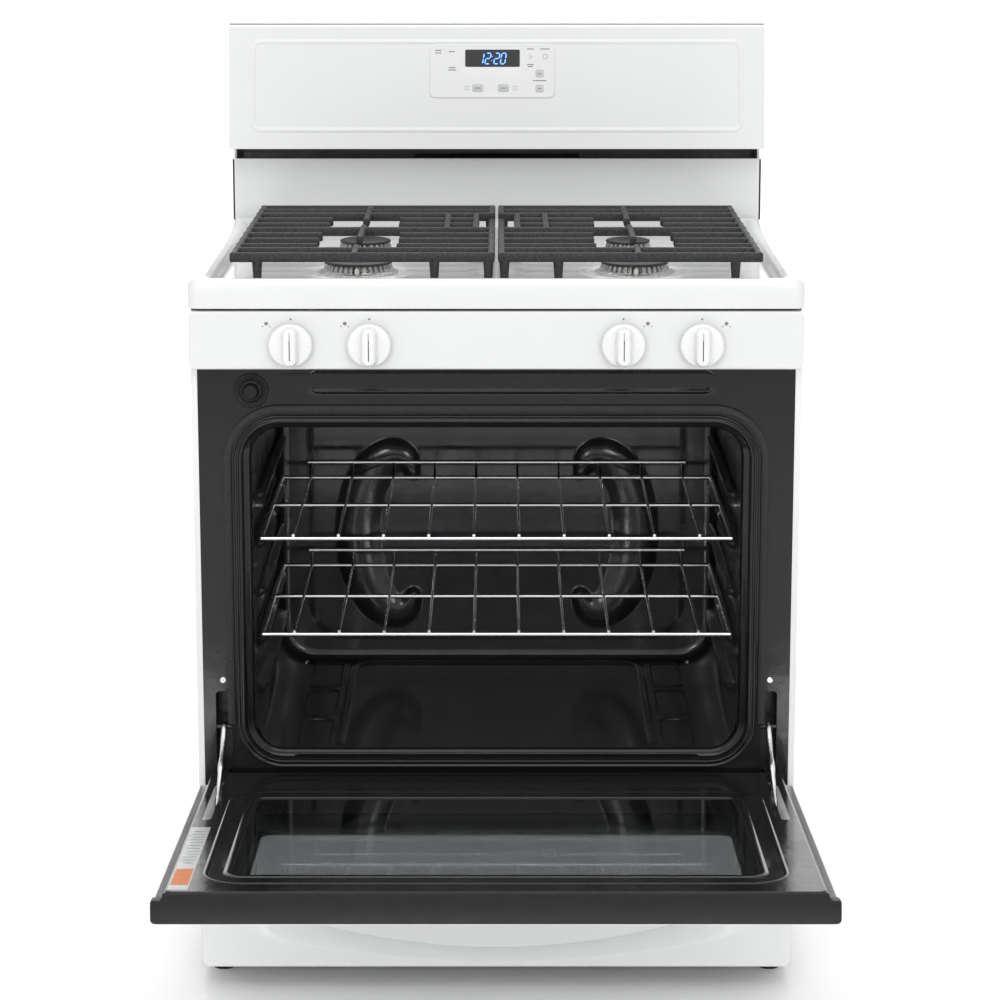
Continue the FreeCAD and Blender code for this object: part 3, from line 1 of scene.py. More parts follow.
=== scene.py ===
import bmesh
import bpy
import math
import numpy as np
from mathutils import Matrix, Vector


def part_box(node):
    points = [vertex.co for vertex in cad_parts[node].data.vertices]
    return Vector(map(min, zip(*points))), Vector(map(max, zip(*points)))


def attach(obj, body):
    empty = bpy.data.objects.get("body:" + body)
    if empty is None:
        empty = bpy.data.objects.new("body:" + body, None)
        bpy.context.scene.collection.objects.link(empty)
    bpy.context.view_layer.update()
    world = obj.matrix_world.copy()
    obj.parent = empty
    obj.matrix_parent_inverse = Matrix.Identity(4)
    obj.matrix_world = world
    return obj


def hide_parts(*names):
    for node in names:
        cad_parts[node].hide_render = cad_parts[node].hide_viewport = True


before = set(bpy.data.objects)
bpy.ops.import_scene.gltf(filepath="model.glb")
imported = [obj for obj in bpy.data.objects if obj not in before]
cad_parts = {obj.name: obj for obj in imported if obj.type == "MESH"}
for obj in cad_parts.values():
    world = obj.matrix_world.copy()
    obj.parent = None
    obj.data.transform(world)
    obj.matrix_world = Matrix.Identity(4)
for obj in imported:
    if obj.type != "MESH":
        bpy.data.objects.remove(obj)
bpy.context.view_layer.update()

# ---- Studio: camera, pale floor and soft lights -------------------------------------------
# The camera stands 3.48 m in front of the control panel at eye height, looking down on the
# cooktop. The floor and the far wall are one pale sweep.
panel_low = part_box("manifold_panel")[0]
scene = bpy.context.scene
camera_data = bpy.data.cameras.new("camera")
camera_data.sensor_width = 36.0
camera_data.lens = 103.4
camera_data.shift_y = -0.09
camera = bpy.data.objects.new("camera", camera_data)
camera.location = (0.0045, panel_low.y - 3.48, 1.428)
camera.rotation_euler = (math.radians(90.0 - 11.0), 0.0, 0.0)
scene.collection.objects.link(camera)
scene.camera = camera
scene.view_settings.view_transform = "Standard"
scene.view_settings.look = "None"


def grid_faces(rows, columns, wrap_rows=False, wrap_columns=False, start=0):
    """Quads of a grid of points, numbered row by row; wrapping joins the last to the first."""
    r = np.arange(rows if wrap_rows else rows - 1)
    c = np.arange(columns if wrap_columns else columns - 1)
    r0, c0 = np.meshgrid(r, c, indexing="ij")
    r1 = (r0 + 1) % rows
    c1 = (c0 + 1) % columns
    quads = np.stack([r0 * columns + c0, r1 * columns + c0, r1 * columns + c1, r0 * columns + c1], axis=-1)
    return quads.reshape(-1, 4) + start


def grids_piece(name, grids, material, smooth_angle=40.0, outwards=True):
    """One object from several point grids, each given as (points, wrap_rows, wrap_columns).

    Points that fall together are merged, so rows that shrink to a line or a point close up.
    """
    vertices = []
    faces = []
    start = 0
    for points, wrap_rows, wrap_columns in grids:
        rows, columns = points.shape[:2]
        vertices.append(points.reshape(-1, 3))
        faces.append(grid_faces(rows, columns, wrap_rows, wrap_columns, start))
        start += rows * columns
    mesh = bpy.data.meshes.new(name)
    mesh.from_pydata(np.concatenate(vertices).tolist(), [], np.concatenate(faces).tolist())
    work = bmesh.new()
    work.from_mesh(mesh)
    bmesh.ops.remove_doubles(work, verts=work.verts, dist=1e-6)
    bmesh.ops.dissolve_degenerate(work, edges=work.edges, dist=1e-7)
    if outwards:
        bmesh.ops.recalc_face_normals(work, faces=work.faces)
    work.to_mesh(mesh)
    work.free()
    mesh.polygons.foreach_set("use_smooth", np.ones(len(mesh.polygons), bool))
    mesh.set_sharp_from_angle(angle=math.radians(smooth_angle))
    mesh.materials.append(material)
    piece = bpy.data.objects.new(name, mesh)
    scene.collection.objects.link(piece)
    return piece


def new_material(name, colour, roughness, metallic=0.0, coat=0.0, coat_roughness=0.05, ior=1.5):
    """Plain shader start that each finish then builds its own detail on."""
    material = bpy.data.materials.new(name)
    material.use_nodes = True
    shader = material.node_tree.nodes["Principled BSDF"]
    shader.inputs["Base Color"].default_value = (*colour, 1.0)
    shader.inputs["Roughness"].default_value = roughness
    shader.inputs["Metallic"].default_value = metallic
    shader.inputs["Coat Weight"].default_value = coat
    shader.inputs["Coat Roughness"].default_value = coat_roughness
    shader.inputs["IOR"].default_value = ior
    return material


def sweep_points(half_width, front, back, height, radius):
    """Floor that turns up into a wall: straight run, quarter circle, straight run."""
    turn = np.linspace(0.0, math.pi / 2, 24)
    y = np.concatenate([[front], back - radius + radius * np.sin(turn), [back]])
    z = np.concatenate([[0.0], radius - radius * np.cos(turn), [height]])
    x = np.array([-half_width, half_width])
    return np.stack([np.broadcast_to(x[:, None], (2, y.size)), np.broadcast_to(y, (2, y.size)),
                     np.broadcast_to(z, (2, z.size))], axis=-1)


floor_paint = new_material("studio_floor", (0.95, 0.95, 0.95), 0.6)
backdrop = grids_piece("backdrop", [(sweep_points(9.0, -9.0, 4.5, 6.0, 1.5), False, False)],
                       floor_paint, outwards=False)

world = bpy.data.worlds.new("studio_light")
world.use_nodes = True
world.node_tree.nodes["Background"].inputs["Color"].default_value = (1.0, 1.0, 1.0, 1.0)
world.node_tree.nodes["Background"].inputs["Strength"].default_value = 0.8
scene.world = world


def soft_light(name, place, target, width, height, power):
    """Softbox that faces a point and isn't itself seen by the camera."""
    data = bpy.data.lights.new(name, "AREA")
    data.shape = "RECTANGLE"
    data.size = width
    data.size_y = height
    data.energy = power
    lamp = bpy.data.objects.new(name, data)
    lamp.location = place
    lamp.rotation_euler = (Vector(target) - Vector(place)).to_track_quat("-Z", "Y").to_euler()
    lamp.visible_camera = False
    scene.collection.objects.link(lamp)


soft_light("light_top", (0.0, -0.6, 3.3), (0.0, -0.1, 0.4), 2.2, 2.2, 10.0)
soft_light("light_front", (0.0, -2.6, 3.5), (0.0, 0.2, 0.9), 2.8, 1.4, 28.0)
soft_light("light_left", (-1.2, -3.5, 1.55), (0.1, 0.4, 0.6), 0.8, 0.5, 13.0)
soft_light("light_right", (1.2, -3.5, 1.55), (-0.1, 0.4, 0.6), 0.8, 0.5, 11.0)
soft_light("light_low", (0.0, -0.95, 0.09), (0.0, 0.0, 0.12), 1.6, 0.1, 1.6)
soft_light("light_wall", (0.0, 1.6, 3.4), (0.0, 4.4, 0.8), 2.4, 2.4, 90.0)

# ---- Cabinet: sides, control panel front, riser and console ---------------------------------
# Pressed steel sheet. The panels in front are under white porcelain enamel, glossy with a
# faint orange peel; the sides and the back are sprayed with a flatter white paint.
MM = 0.001


def noise_on(material, scale, detail):
    """Noise read from the object's own coordinates; the scale is in features per metre."""
    nodes = material.node_tree.nodes
    place = nodes.new("ShaderNodeTexCoord")
    noise = nodes.new("ShaderNodeTexNoise")
    noise.inputs["Scale"].default_value = scale
    noise.inputs["Detail"].default_value = detail
    material.node_tree.links.new(place.outputs["Object"], noise.inputs["Vector"])
    return noise


def add_smears(material, scale, low, high, detail=4.0):
    """Roughness that drifts between two values with noise, as wiped surfaces do."""
    nodes = material.node_tree.nodes
    links = material.node_tree.links
    spread = nodes.new("ShaderNodeMapRange")
    spread.inputs["From Min"].default_value = 0.3
    spread.inputs["From Max"].default_value = 0.7
    spread.inputs["To Min"].default_value = low
    spread.inputs["To Max"].default_value = high
    links.new(noise_on(material, scale, detail).outputs["Fac"], spread.inputs["Value"])
    links.new(spread.outputs["Result"], nodes["Principled BSDF"].inputs["Roughness"])


def add_bump(material, scale, strength, distance, detail=4.0):
    """Fine relief from noise, stacked on any relief the material has already."""
    nodes = material.node_tree.nodes
    links = material.node_tree.links
    noise = noise_on(material, scale, detail)
    bump = nodes.new("ShaderNodeBump")
    bump.inputs["Strength"].default_value = strength
    bump.inputs["Distance"].default_value = distance
    links.new(noise.outputs["Fac"], bump.inputs["Height"])
    normal = nodes["Principled BSDF"].inputs["Normal"]
    if normal.is_linked:
        links.new(normal.links[0].from_socket, bump.inputs["Normal"])
    links.new(bump.outputs["Normal"], normal)


white_enamel = new_material("white_enamel", (0.75, 0.755, 0.76), 0.2, coat=0.35, coat_roughness=0.06)
add_smears(white_enamel, 9.0, 0.17, 0.27)
add_bump(white_enamel, 240.0, 0.06, 0.0004)
white_paint = new_material("white_paint", (0.79, 0.795, 0.80), 0.36)
add_smears(white_paint, 14.0, 0.32, 0.44)
add_bump(white_paint, 420.0, 0.1, 0.0004)


def dress(nodes, material):
    """Puts a finish on CAD nodes."""
    for node in nodes:
        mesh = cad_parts[node].data
        mesh.materials.clear()
        mesh.materials.append(material)


def place_piece(piece, body, replaced=()):
    """Fixes a new piece to its body, in place of any plain CAD nodes."""
    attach(piece, body)
    if replaced:
        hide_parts(*replaced)


dress(["side_panel_left", "side_panel_right", "back_panel", "console_back"], white_paint)
dress(["manifold_panel", "backguard_riser", "console_shell", "door_skin", "door_handle"], white_enamel)


def rounded_loop(x0, x1, z0, z1, radius, turns=10, runs=(12, 12)):
    """Points round a rectangle with round corners, as an (N, 2) array.

    Each corner is a quarter circle c + r (cos a, sin a); runs gives the points along each
    upright side and each level side, so loops of any size can be joined point to point.
    """
    centres = ((x1 - radius, z0 + radius, -0.5), (x1 - radius, z1 - radius, 0.0),
               (x0 + radius, z1 - radius, 0.5), (x0 + radius, z0 + radius, 1.0))
    points = []
    for index, (cx, cz, start) in enumerate(centres):
        angle = math.pi * (start + 0.5 * np.linspace(0.0, 1.0, turns))
        points.append(np.stack([cx + radius * np.cos(angle), cz + radius * np.sin(angle)], axis=1))
        next_x, next_z, next_start = centres[(index + 1) % 4]
        first = points[-1][-1]
        last = np.array([next_x + radius * math.cos(math.pi * next_start),
                         next_z + radius * math.sin(math.pi * next_start)])
        share = np.linspace(0.0, 1.0, runs[index % 2] + 2)[1:-1, None]
        points.append(first + (last - first) * share)
    return np.concatenate(points)


# ---- Console: embossed border, keypad and clock ---------------------------------------------
# The console's face leans back. Its border is a shallow bead pressed in the sheet; the keypad
# is a white film on a moulded plate with a dark display pane and printed marks.
console_low, console_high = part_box("console_shell")
back_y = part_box("console_back")[1].y
console_foot = back_y - 84.0 * MM
rake = math.atan2(33.0, 175.0)
keypad_x = -6.6 * MM
keypad_z = console_low.z + 108.0 * MM


def on_console(x, z, n):
    """World points of the console's face: z is the height on the face, n is out of it."""
    y = console_foot + (z - console_low.z) * math.tan(rake) - n * math.cos(rake)
    return np.stack([x, y, z + n * math.sin(rake)], axis=-1)


def console_ring(x0, x1, z0, z1, radius, profile, runs=(30, 60)):
    """Rings of a bead round a rectangle on the console; the profile gives (outset, height)."""
    rows = []
    for outset, n in profile:
        loop = rounded_loop(x0 - outset, x1 + outset, z0 - outset, z1 + outset, radius + outset, 8, runs)
        rows.append(on_console(loop[:, 0], loop[:, 1], np.full(len(loop), n)))
    return np.stack(rows)


bead = [(-4.0 * MM, -0.1 * MM), (-3.0 * MM, 0.5 * MM), (-1.2 * MM, 1.1 * MM), (0.6 * MM, 1.1 * MM),
        (2.6 * MM, 0.5 * MM), (3.6 * MM, -0.1 * MM)]
border = grids_piece("console_border", [(console_ring(
    console_low.x + 34.0 * MM, console_high.x - 34.0 * MM, console_low.z + 26.0 * MM,
    console_high.z - 26.0 * MM, 12.0 * MM, bead), False, True)], white_enamel, 60.0)
place_piece(border, "cabinet")

keypad_film = new_material("keypad_film", (0.74, 0.745, 0.75), 0.42)
add_smears(keypad_film, 30.0, 0.36, 0.5)
add_bump(keypad_film, 900.0, 0.08, 0.0002)
half_w = 88.5 * MM
half_h = 38.0 * MM * math.cos(rake)
window = (keypad_x - 38.0 * MM, keypad_x + 39.0 * MM, keypad_z + 5.7 * MM, keypad_z + 29.5 * MM)
outer = (keypad_x - half_w, keypad_x + half_w, keypad_z - half_h, keypad_z + half_h)


def plate_rings(steps):
    """Rings from a plate's edge to its window; each step gives (share inwards, inset, height)."""
    rows = []
    for share, inset, n in steps:
        edges = [a + (b - a) * share for a, b in zip(outer, window)]
        radius = 8.0 * MM + (2.2 * MM - 8.0 * MM) * share - inset * 0.5
        loop = rounded_loop(edges[0] + inset, edges[1] - inset, edges[2] + inset, edges[3] - inset,
                            radius, 8, (16, 30))
        rows.append(on_console(loop[:, 0], loop[:, 1], np.full(len(loop), n)))
    return np.stack(rows)


film_steps = [(0.0, 0.0, 0.0), (0.0, 0.0, 0.7 * MM), (0.0, 0.5 * MM, 1.3 * MM), (0.0, 1.4 * MM, 1.58 * MM),
              (0.0, 2.6 * MM, 1.5 * MM), (0.0, 3.4 * MM, 1.25 * MM), (0.0, 4.2 * MM, 1.2 * MM),
              (0.5, 2.0 * MM, 1.2 * MM), (0.97, 0.0, 1.2 * MM), (1.0, 0.0, 0.9 * MM), (1.0, 0.0, 0.0)]
film = grids_piece("keypad_plate", [(plate_rings(film_steps), False, True)], keypad_film, 50.0)
place_piece(film, "cabinet", ["control_keypad"])
display_pane = new_material("display_pane", (0.003, 0.003, 0.005), 0.08, coat=1.0, coat_roughness=0.03)
add_smears(display_pane, 60.0, 0.05, 0.14)
dress(["display_window"], display_pane)


def add_mottle(material, scale, dark, light, detail=5.0):
    """Colour that drifts between two shades with noise."""
    nodes = material.node_tree.nodes
    links = material.node_tree.links
    ramp = nodes.new("ShaderNodeValToRGB")
    ramp.color_ramp.elements[0].color = (*dark, 1.0)
    ramp.color_ramp.elements[0].position = 0.35
    ramp.color_ramp.elements[1].color = (*light, 1.0)
    ramp.color_ramp.elements[1].position = 0.65
    links.new(noise_on(material, scale, detail).outputs["Fac"], ramp.inputs["Fac"])
    links.new(ramp.outputs["Color"], nodes["Principled BSDF"].inputs["Base Color"])


print_grey = new_material("keypad_print", (0.18, 0.18, 0.19), 0.5)
add_mottle(print_grey, 2600.0, (0.14, 0.14, 0.15), (0.26, 0.26, 0.27))
pad_grey = new_material("keypad_pad", (0.52, 0.525, 0.53), 0.45)
add_smears(pad_grey, 200.0, 0.38, 0.52)


def printed_slab(x, z, width, height, radius, low, high):
    """Thin rounded slab on the keypad, from its skirt to its middle line."""
    rows = []
    for inset, n in ((0.0, low), (0.0, high - 0.03 * MM), (0.06 * MM, high), (height * 0.499, high)):
        loop = rounded_loop(x - width / 2 + inset, x + width / 2 - inset, z - height / 2 + inset,
                            z + height / 2 - inset, max(radius - inset, 0.01 * MM), 6, (3, 6))
        rows.append(on_console(loop[:, 0], loop[:, 1], np.full(len(loop), n)))
    return np.stack(rows), False, True


film_top = 1.2 * MM
pads = []
for u, v in ((-20.3, -23.6), (16.0, -23.6), (67.0, -3.4), (67.0, -24.2)):
    wide = 15.5 if u < 60.0 else 11.5
    pads.append(printed_slab(keypad_x + u * MM, keypad_z + v * MM, wide * MM, 11.0 * MM, 2.2 * MM,
                             film_top - 0.1 * MM, film_top + 0.12 * MM))
pad_piece = grids_piece("keypad_pads", pads, pad_grey, 50.0)
place_piece(pad_piece, "cabinet")

marks = []
# each label is one or two plain strokes, with no lettering
for u, v, wide in ((-76.0, 28.5, 9.0), (-76.0, 25.0, 9.0), (-57.0, 26.8, 9.0), (-56.5, 4.6, 9.5),
                   (-56.5, 1.4, 11.0), (54.0, 30.5, 9.5), (74.5, 30.5, 13.0), (54.0, 9.0, 9.5),
                   (54.0, 6.2, 7.0), (67.0, -13.4, 19.0), (-20.3, -23.6, 8.0), (16.0, -23.6, 8.0),
                   (67.0, -3.4, 4.5), (67.0, -24.2, 4.5)):
    marks.append(printed_slab(keypad_x + u * MM, keypad_z + v * MM, wide * MM, 1.3 * MM, 0.4 * MM,
                              film_top - 0.1 * MM, film_top + 0.16 * MM))


def outline_mark(x, z, radius, corners, turn, thick):
    """Closed outline of a regular figure, drawn as a flat band of an even thickness."""
    angle = turn + 2.0 * math.pi * np.arange(corners) / corners
    rows = []
    for size, n in ((radius, film_top - 0.1 * MM), (radius, film_top + 0.16 * MM),
                    (radius - thick, film_top + 0.16 * MM), (radius - thick, film_top - 0.1 * MM)):
        rows.append(on_console(x + size * np.cos(angle), z + size * np.sin(angle), np.full(corners, n)))
    return np.stack(rows), True, True


marks.append(outline_mark(keypad_x + 75.0 * MM, keypad_z + 20.0 * MM, 3.6 * MM, 24, 0.0, 0.6 * MM))
marks.append(outline_mark(keypad_x + 54.0 * MM, keypad_z + 20.0 * MM, 3.4 * MM, 3, 0.0, 0.7 * MM))
marks.append(outline_mark(keypad_x - 36.0 * MM, keypad_z - 23.6 * MM, 3.8 * MM, 4, math.pi / 4, 0.6 * MM))
marks.append(outline_mark(keypad_x + 32.5 * MM, keypad_z - 23.6 * MM, 3.8 * MM, 4, math.pi / 4, 0.6 * MM))
marks_piece = grids_piece("keypad_marks", marks, print_grey, 50.0)
place_piece(marks_piece, "cabinet")

# The clock shows plain seven-segment digits, lit blue through the pane.
digit_glow = new_material("digit_glow", (0.05, 0.12, 0.9), 0.4)
digit_shader = digit_glow.node_tree.nodes["Principled BSDF"]
digit_shader.inputs["Emission Color"].default_value = (0.10, 0.30, 1.0, 1.0)
digit_shader.inputs["Emission Strength"].default_value = 2.6
add_mottle(digit_glow, 4000.0, (0.05, 0.12, 0.9), (0.1, 0.25, 1.0))
SEGMENTS = {"0": "abcdef", "1": "bc", "2": "abged"}
digit_h = 14.6 * MM
digit_w = 6.4 * MM
slant = 0.17


def segment_ends(letter):
    """End points of a digit's bar in a unit cell, x to the right and z up."""
    return {"a": ((0, 2), (1, 2)), "b": ((1, 2), (1, 1)), "c": ((1, 1), (1, 0)), "d": ((0, 0), (1, 0)),
            "e": ((0, 1), (0, 0)), "f": ((0, 2), (0, 1)), "g": ((0, 1), (1, 1))}[letter]


def lit_bar(x, z, start, end, thick):
    """Six-cornered flat bar between two points of the display."""
    start = np.array(start)
    end = np.array(end)
    along = (end - start) / np.linalg.norm(end - start)
    across = np.array([-along[1], along[0]]) * thick / 2
    a = start + along * thick * 0.35
    b = end - along * thick * 0.35
    near = np.array([a, a + along * thick / 2 + across, b - along * thick / 2 + across, b])
    far = np.array([a, a + along * thick / 2 - across, b - along * thick / 2 - across, b])
    flat = np.stack([near, far])
    px = x + flat[..., 0] + slant * flat[..., 1]
    pz = z + flat[..., 1]
    return on_console(px, pz, np.full(px.shape, 1.42 * MM)), False, False


digits = []
cell = 9.2 * MM
start_x = keypad_x - 19.0 * MM
base_z = keypad_z + 10.0 * MM
for place, character in zip((-0.1, 0.95, 2.3, 3.3), "1220"):
    for letter in SEGMENTS[character]:
        first, last = segment_ends(letter)
        digits.append(lit_bar(start_x + place * cell, base_z,
                              (first[0] * digit_w, first[1] * digit_h / 2),
                              (last[0] * digit_w, last[1] * digit_h / 2), 1.5 * MM))
for height in (0.3, 0.7):
    spot = height * digit_h
    colon_x = start_x + 1.92 * cell
    digits.append(lit_bar(colon_x, base_z, (0.0, spot - 1.3 * MM), (0.0, spot + 1.3 * MM), 1.6 * MM))
digit_piece = grids_piece("clock_digits", digits, digit_glow, outwards=False)
place_piece(digit_piece, "cabinet")

# ---- Control panel: burner marks and knobs --------------------------------------------------
# Small printed dots beside each knob. The knobs are white mouldings: a turned skirt with a
# tapered grip across it and a grey pointer line let into the grip's upper end.
knob_plastic = new_material("knob_plastic", (0.80, 0.805, 0.81), 0.3)
add_smears(knob_plastic, 40.0, 0.24, 0.36)
add_bump(knob_plastic, 700.0, 0.08, 0.0003)
panel_y = panel_low.y
panel_bottom = panel_low.z
knob_z = panel_bottom + 31.5 * MM
KNOBS = (-252.5 * MM, -156.0 * MM, 156.0 * MM, 252.5 * MM)


def turned(profile, centre, axis, steps=64):
    """Surface turned about a line: the profile gives (radius, distance along the axis)."""
    angle = 2.0 * math.pi * np.arange(steps) / steps
    radius = np.array([p[0] for p in profile])[:, None]
    along = np.broadcast_to(np.array([p[1] for p in profile])[:, None], (len(profile), steps))
    u = radius * np.cos(angle)
    v = radius * np.sin(angle)
    if axis == "Y":
        points = np.stack([u, along, v], axis=-1)
    elif axis == "X":
        points = np.stack([along, u, v], axis=-1)
    else:
        points = np.stack([u, v, along], axis=-1)
    return points + np.array(centre), False, True


def knob_points(x):
    """Skirt and grip of one knob, bored 4.8 mm deeper than its stem; front faces towards -Y."""
    back = panel_y - 5.0 * MM
    stem_low, stem_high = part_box("valve_stem_1")
    bore = (stem_high.x - stem_low.x) / 2.0 / MM + 0.3
    bore_end = (stem_low.y - back) / MM - 4.8
    skirt = [(0.0, bore_end), (bore, bore_end), (bore, -0.4), (20.0, -0.4), (25.6, -0.4), (26.8, -1.2),
             (27.0, -2.4), (26.9, -5.6), (26.4, -7.4), (25.4, -8.5), (23.9, -9.0), (19.0, -9.3), (12.0, -9.4),
             (bore + 0.9, -9.4), (bore + 0.9, bore_end - 0.9), (0.0, bore_end - 0.9)]
    grids = [turned([(r * MM, s * MM) for r, s in skirt], (x, back, knob_z), "Y", 96)]
    rows = []
    for out, half, tall in ((8.6, 11.0, 24.4), (9.6, 10.6, 24.2), (11.0, 10.2, 23.9), (19.5, 8.6, 23.2),
                            (21.8, 8.0, 22.7), (23.2, 7.0, 21.8), (23.9, 5.6, 20.6), (24.0, 4.0, 19.2),
                            (24.0, 0.6, 16.0)):
        loop = rounded_loop(x - half * MM, x + half * MM, knob_z - tall * MM, knob_z + tall * MM,
                            half * 0.86 * MM, 12, (20, 6))
        rows.append(np.stack([loop[:, 0], np.full(len(loop), back - out * MM), loop[:, 1]], axis=-1))
    grids.append((np.stack(rows), False, True))
    return grids


for number, x in enumerate(KNOBS, 1):
    knob_piece = grids_piece("knob_body_%d" % number, knob_points(x), knob_plastic, 35.0)
    place_piece(knob_piece, "knob_%d" % number, ["knob_%d" % number])
    pointer_rows = []
    for inset, out in ((0.0, 23.6), (0.0, 24.05), (0.25, 24.12), (0.7, 24.12)):
        loop = rounded_loop(x - (0.8 - inset) * MM, x + (0.8 - inset) * MM, knob_z + (9.0 + inset) * MM,
                            knob_z + (19.0 - inset) * MM, 0.08 * MM, 4, (4, 2))
        front = np.full(len(loop), panel_y - (5.0 + out) * MM)
        pointer_rows.append(np.stack([loop[:, 0], front, loop[:, 1]], axis=-1))
    pointer = grids_piece("knob_pointer_%d" % number, [(np.stack(pointer_rows), False, True)], pad_grey)
    place_piece(pointer, "knob_%d" % number)


def panel_dot(x, z, radius):
    """Printed dot, slightly domed, on the control panel."""
    profile = [(radius, 0.02 * MM), (radius, -0.05 * MM), (radius * 0.8, -0.1 * MM), (0.0, -0.12 * MM)]
    return turned(profile, (x, panel_y, z), "Y", 20)


dots = []
for x in KNOBS:
    dots.append(panel_dot(x, knob_z + 31.5 * MM, 1.3 * MM))
for x in (KNOBS[0] - 30.0 * MM, KNOBS[1] - 30.0 * MM, KNOBS[2] + 30.0 * MM, KNOBS[3] + 30.0 * MM):
    dots.append(panel_dot(x, knob_z + 26.0 * MM, 2.4 * MM))
    for side in (-1, 1):
        dots.append(panel_dot(x + side * 4.6 * MM, knob_z + 22.5 * MM, 0.9 * MM))
dot_piece = grids_piece("panel_dots", dots, print_grey)
place_piece(dot_piece, "cabinet")

# ---- Cooktop --------------------------------------------------------------------------------
# One pressed sheet under white enamel: a rolled rim, a sloped shoulder down to the pan, a low
# bridge between the grates and a raised ring round each burner.
cook_low, cook_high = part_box("cooktop")
frame_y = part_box("side_panel_right")[0].y
pan_z = cook_high.z - 15.0 * MM
BURNERS = ((-177.0, 153.0, 44.0), (177.0, 153.0, 44.0), (-177.0, 353.0, 34.5), (177.0, 353.0, 30.0))


def smooth_step(value):
    """0 to 1 with a smooth shoulder."""
    t = np.clip(value, 0.0, 1.0)
    return t * t * (3.0 - 2.0 * t)


def cooktop_height(x, y):
    """Height of the pan: flat, with the bridge, the burner rings and soft seams."""
    z = np.full(np.shape(x), pan_z)
    z = z + 2.2 * MM * smooth_step((38.0 * MM - np.abs(x)) / (10.0 * MM))
    middle = frame_y + 253.0 * MM
    z = z + 1.2 * MM * smooth_step((16.0 * MM - np.abs(y - middle)) / (8.0 * MM))
    for bx, by, cap in BURNERS:
        away = np.hypot(x - bx * MM, y - frame_y - by * MM)
        ring = (cap + 22.0) * MM
        z = z + 1.6 * MM * np.exp(-((away - ring) / (5.0 * MM)) ** 2)
        dish = smooth_step((ring - away) / (6.0 * MM))
        z = z * (1 - dish) + dish * (pan_z + 1.6 * MM * np.exp(-((away - ring) / (5.0 * MM)) ** 2))
    return z


def cooktop_points():
    """Rings from the skirt's lower edge over the rim and into the pan, closed at the middle."""
    rim = (cook_low.x, cook_high.x, cook_low.y, cook_high.y)
    pan = (cook_low.x + 32.0 * MM, cook_high.x - 32.0 * MM, cook_low.y + 25.0 * MM, cook_high.y - 22.0 * MM)
    runs = (110, 150)
    top = cook_high.z
    rows = []
    for inset, drop in ((1.4, 36.0), (0.2, 35.9), (0.0, 35.0), (0.0, 22.0), (0.0, 11.0), (0.35, 8.0),
                        (1.3, 5.2), (3.0, 2.8), (5.4, 1.0), (8.2, 0.2), (11.0, 0.0), (14.0, 0.05)):
        loop = rounded_loop(rim[0] + inset * MM, rim[1] - inset * MM,
                            rim[2] + inset * MM, rim[3] - inset * 0.4 * MM,
                            (14.0 - 0.5 * min(inset, 11.0)) * MM, 12, runs)
        rows.append(np.column_stack([loop, np.full(len(loop), top - drop * MM)]))
    for share, drop in ((0.52, 0.25), (0.62, 0.9), (0.72, 2.4), (0.82, 5.2), (0.90, 9.0), (0.96, 12.4),
                        (1.0, 14.2), (1.04, 14.85)):
        edges = [a + (b - a) * share for a, b in zip(rim, pan)]
        loop = rounded_loop(*edges, (14.0 + 14.0 * share) * MM, 12, runs)
        rows.append(np.column_stack([loop, np.full(len(loop), top - drop * MM)]))
    depth = (pan[3] - pan[2]) / 2 - 1.6 * MM
    for inset in np.linspace(1.6 * MM, depth + 1.5 * MM, 84):
        radius = max(28.0 * MM - inset * 0.3, 0.5 * MM)
        inset = min(inset, depth + 1.1 * MM)
        loop = rounded_loop(pan[0] + inset, pan[1] - inset, pan[2] + inset, pan[3] - inset,
                            min(radius, (pan[3] - pan[2]) / 2 - inset - 0.1 * MM), 12, runs)
        rows.append(np.column_stack([loop, cooktop_height(loop[:, 0], loop[:, 1])]))
    return np.stack(rows)


cooktop_piece = grids_piece("cooktop_pressing", [(cooktop_points(), False, True)], white_enamel, 60.0)
place_piece(cooktop_piece, "cabinet", ["cooktop"])

# ---- Burners --------------------------------------------------------------------------------
# Each burner is a die-cast aluminium base with a flared foot, a slotted head and a loose cap
# under matt black enamel. A white igniter stands in the head's front notch.
burner_metal = new_material("burner_aluminium", (0.55, 0.55, 0.54), 0.42, metallic=0.9)
add_mottle(burner_metal, 240.0, (0.34, 0.33, 0.32), (0.60, 0.60, 0.59))
add_bump(burner_metal, 500.0, 0.35, 0.0006)
cap_enamel = new_material("cap_enamel", (0.014, 0.014, 0.015), 0.42)
add_mottle(cap_enamel, 500.0, (0.010, 0.010, 0.011), (0.026, 0.026, 0.027))
add_bump(cap_enamel, 420.0, 0.3, 0.0006)
ceramic = new_material("ceramic", (0.78, 0.76, 0.71), 0.5)
add_bump(ceramic, 500.0, 0.15, 0.0004)


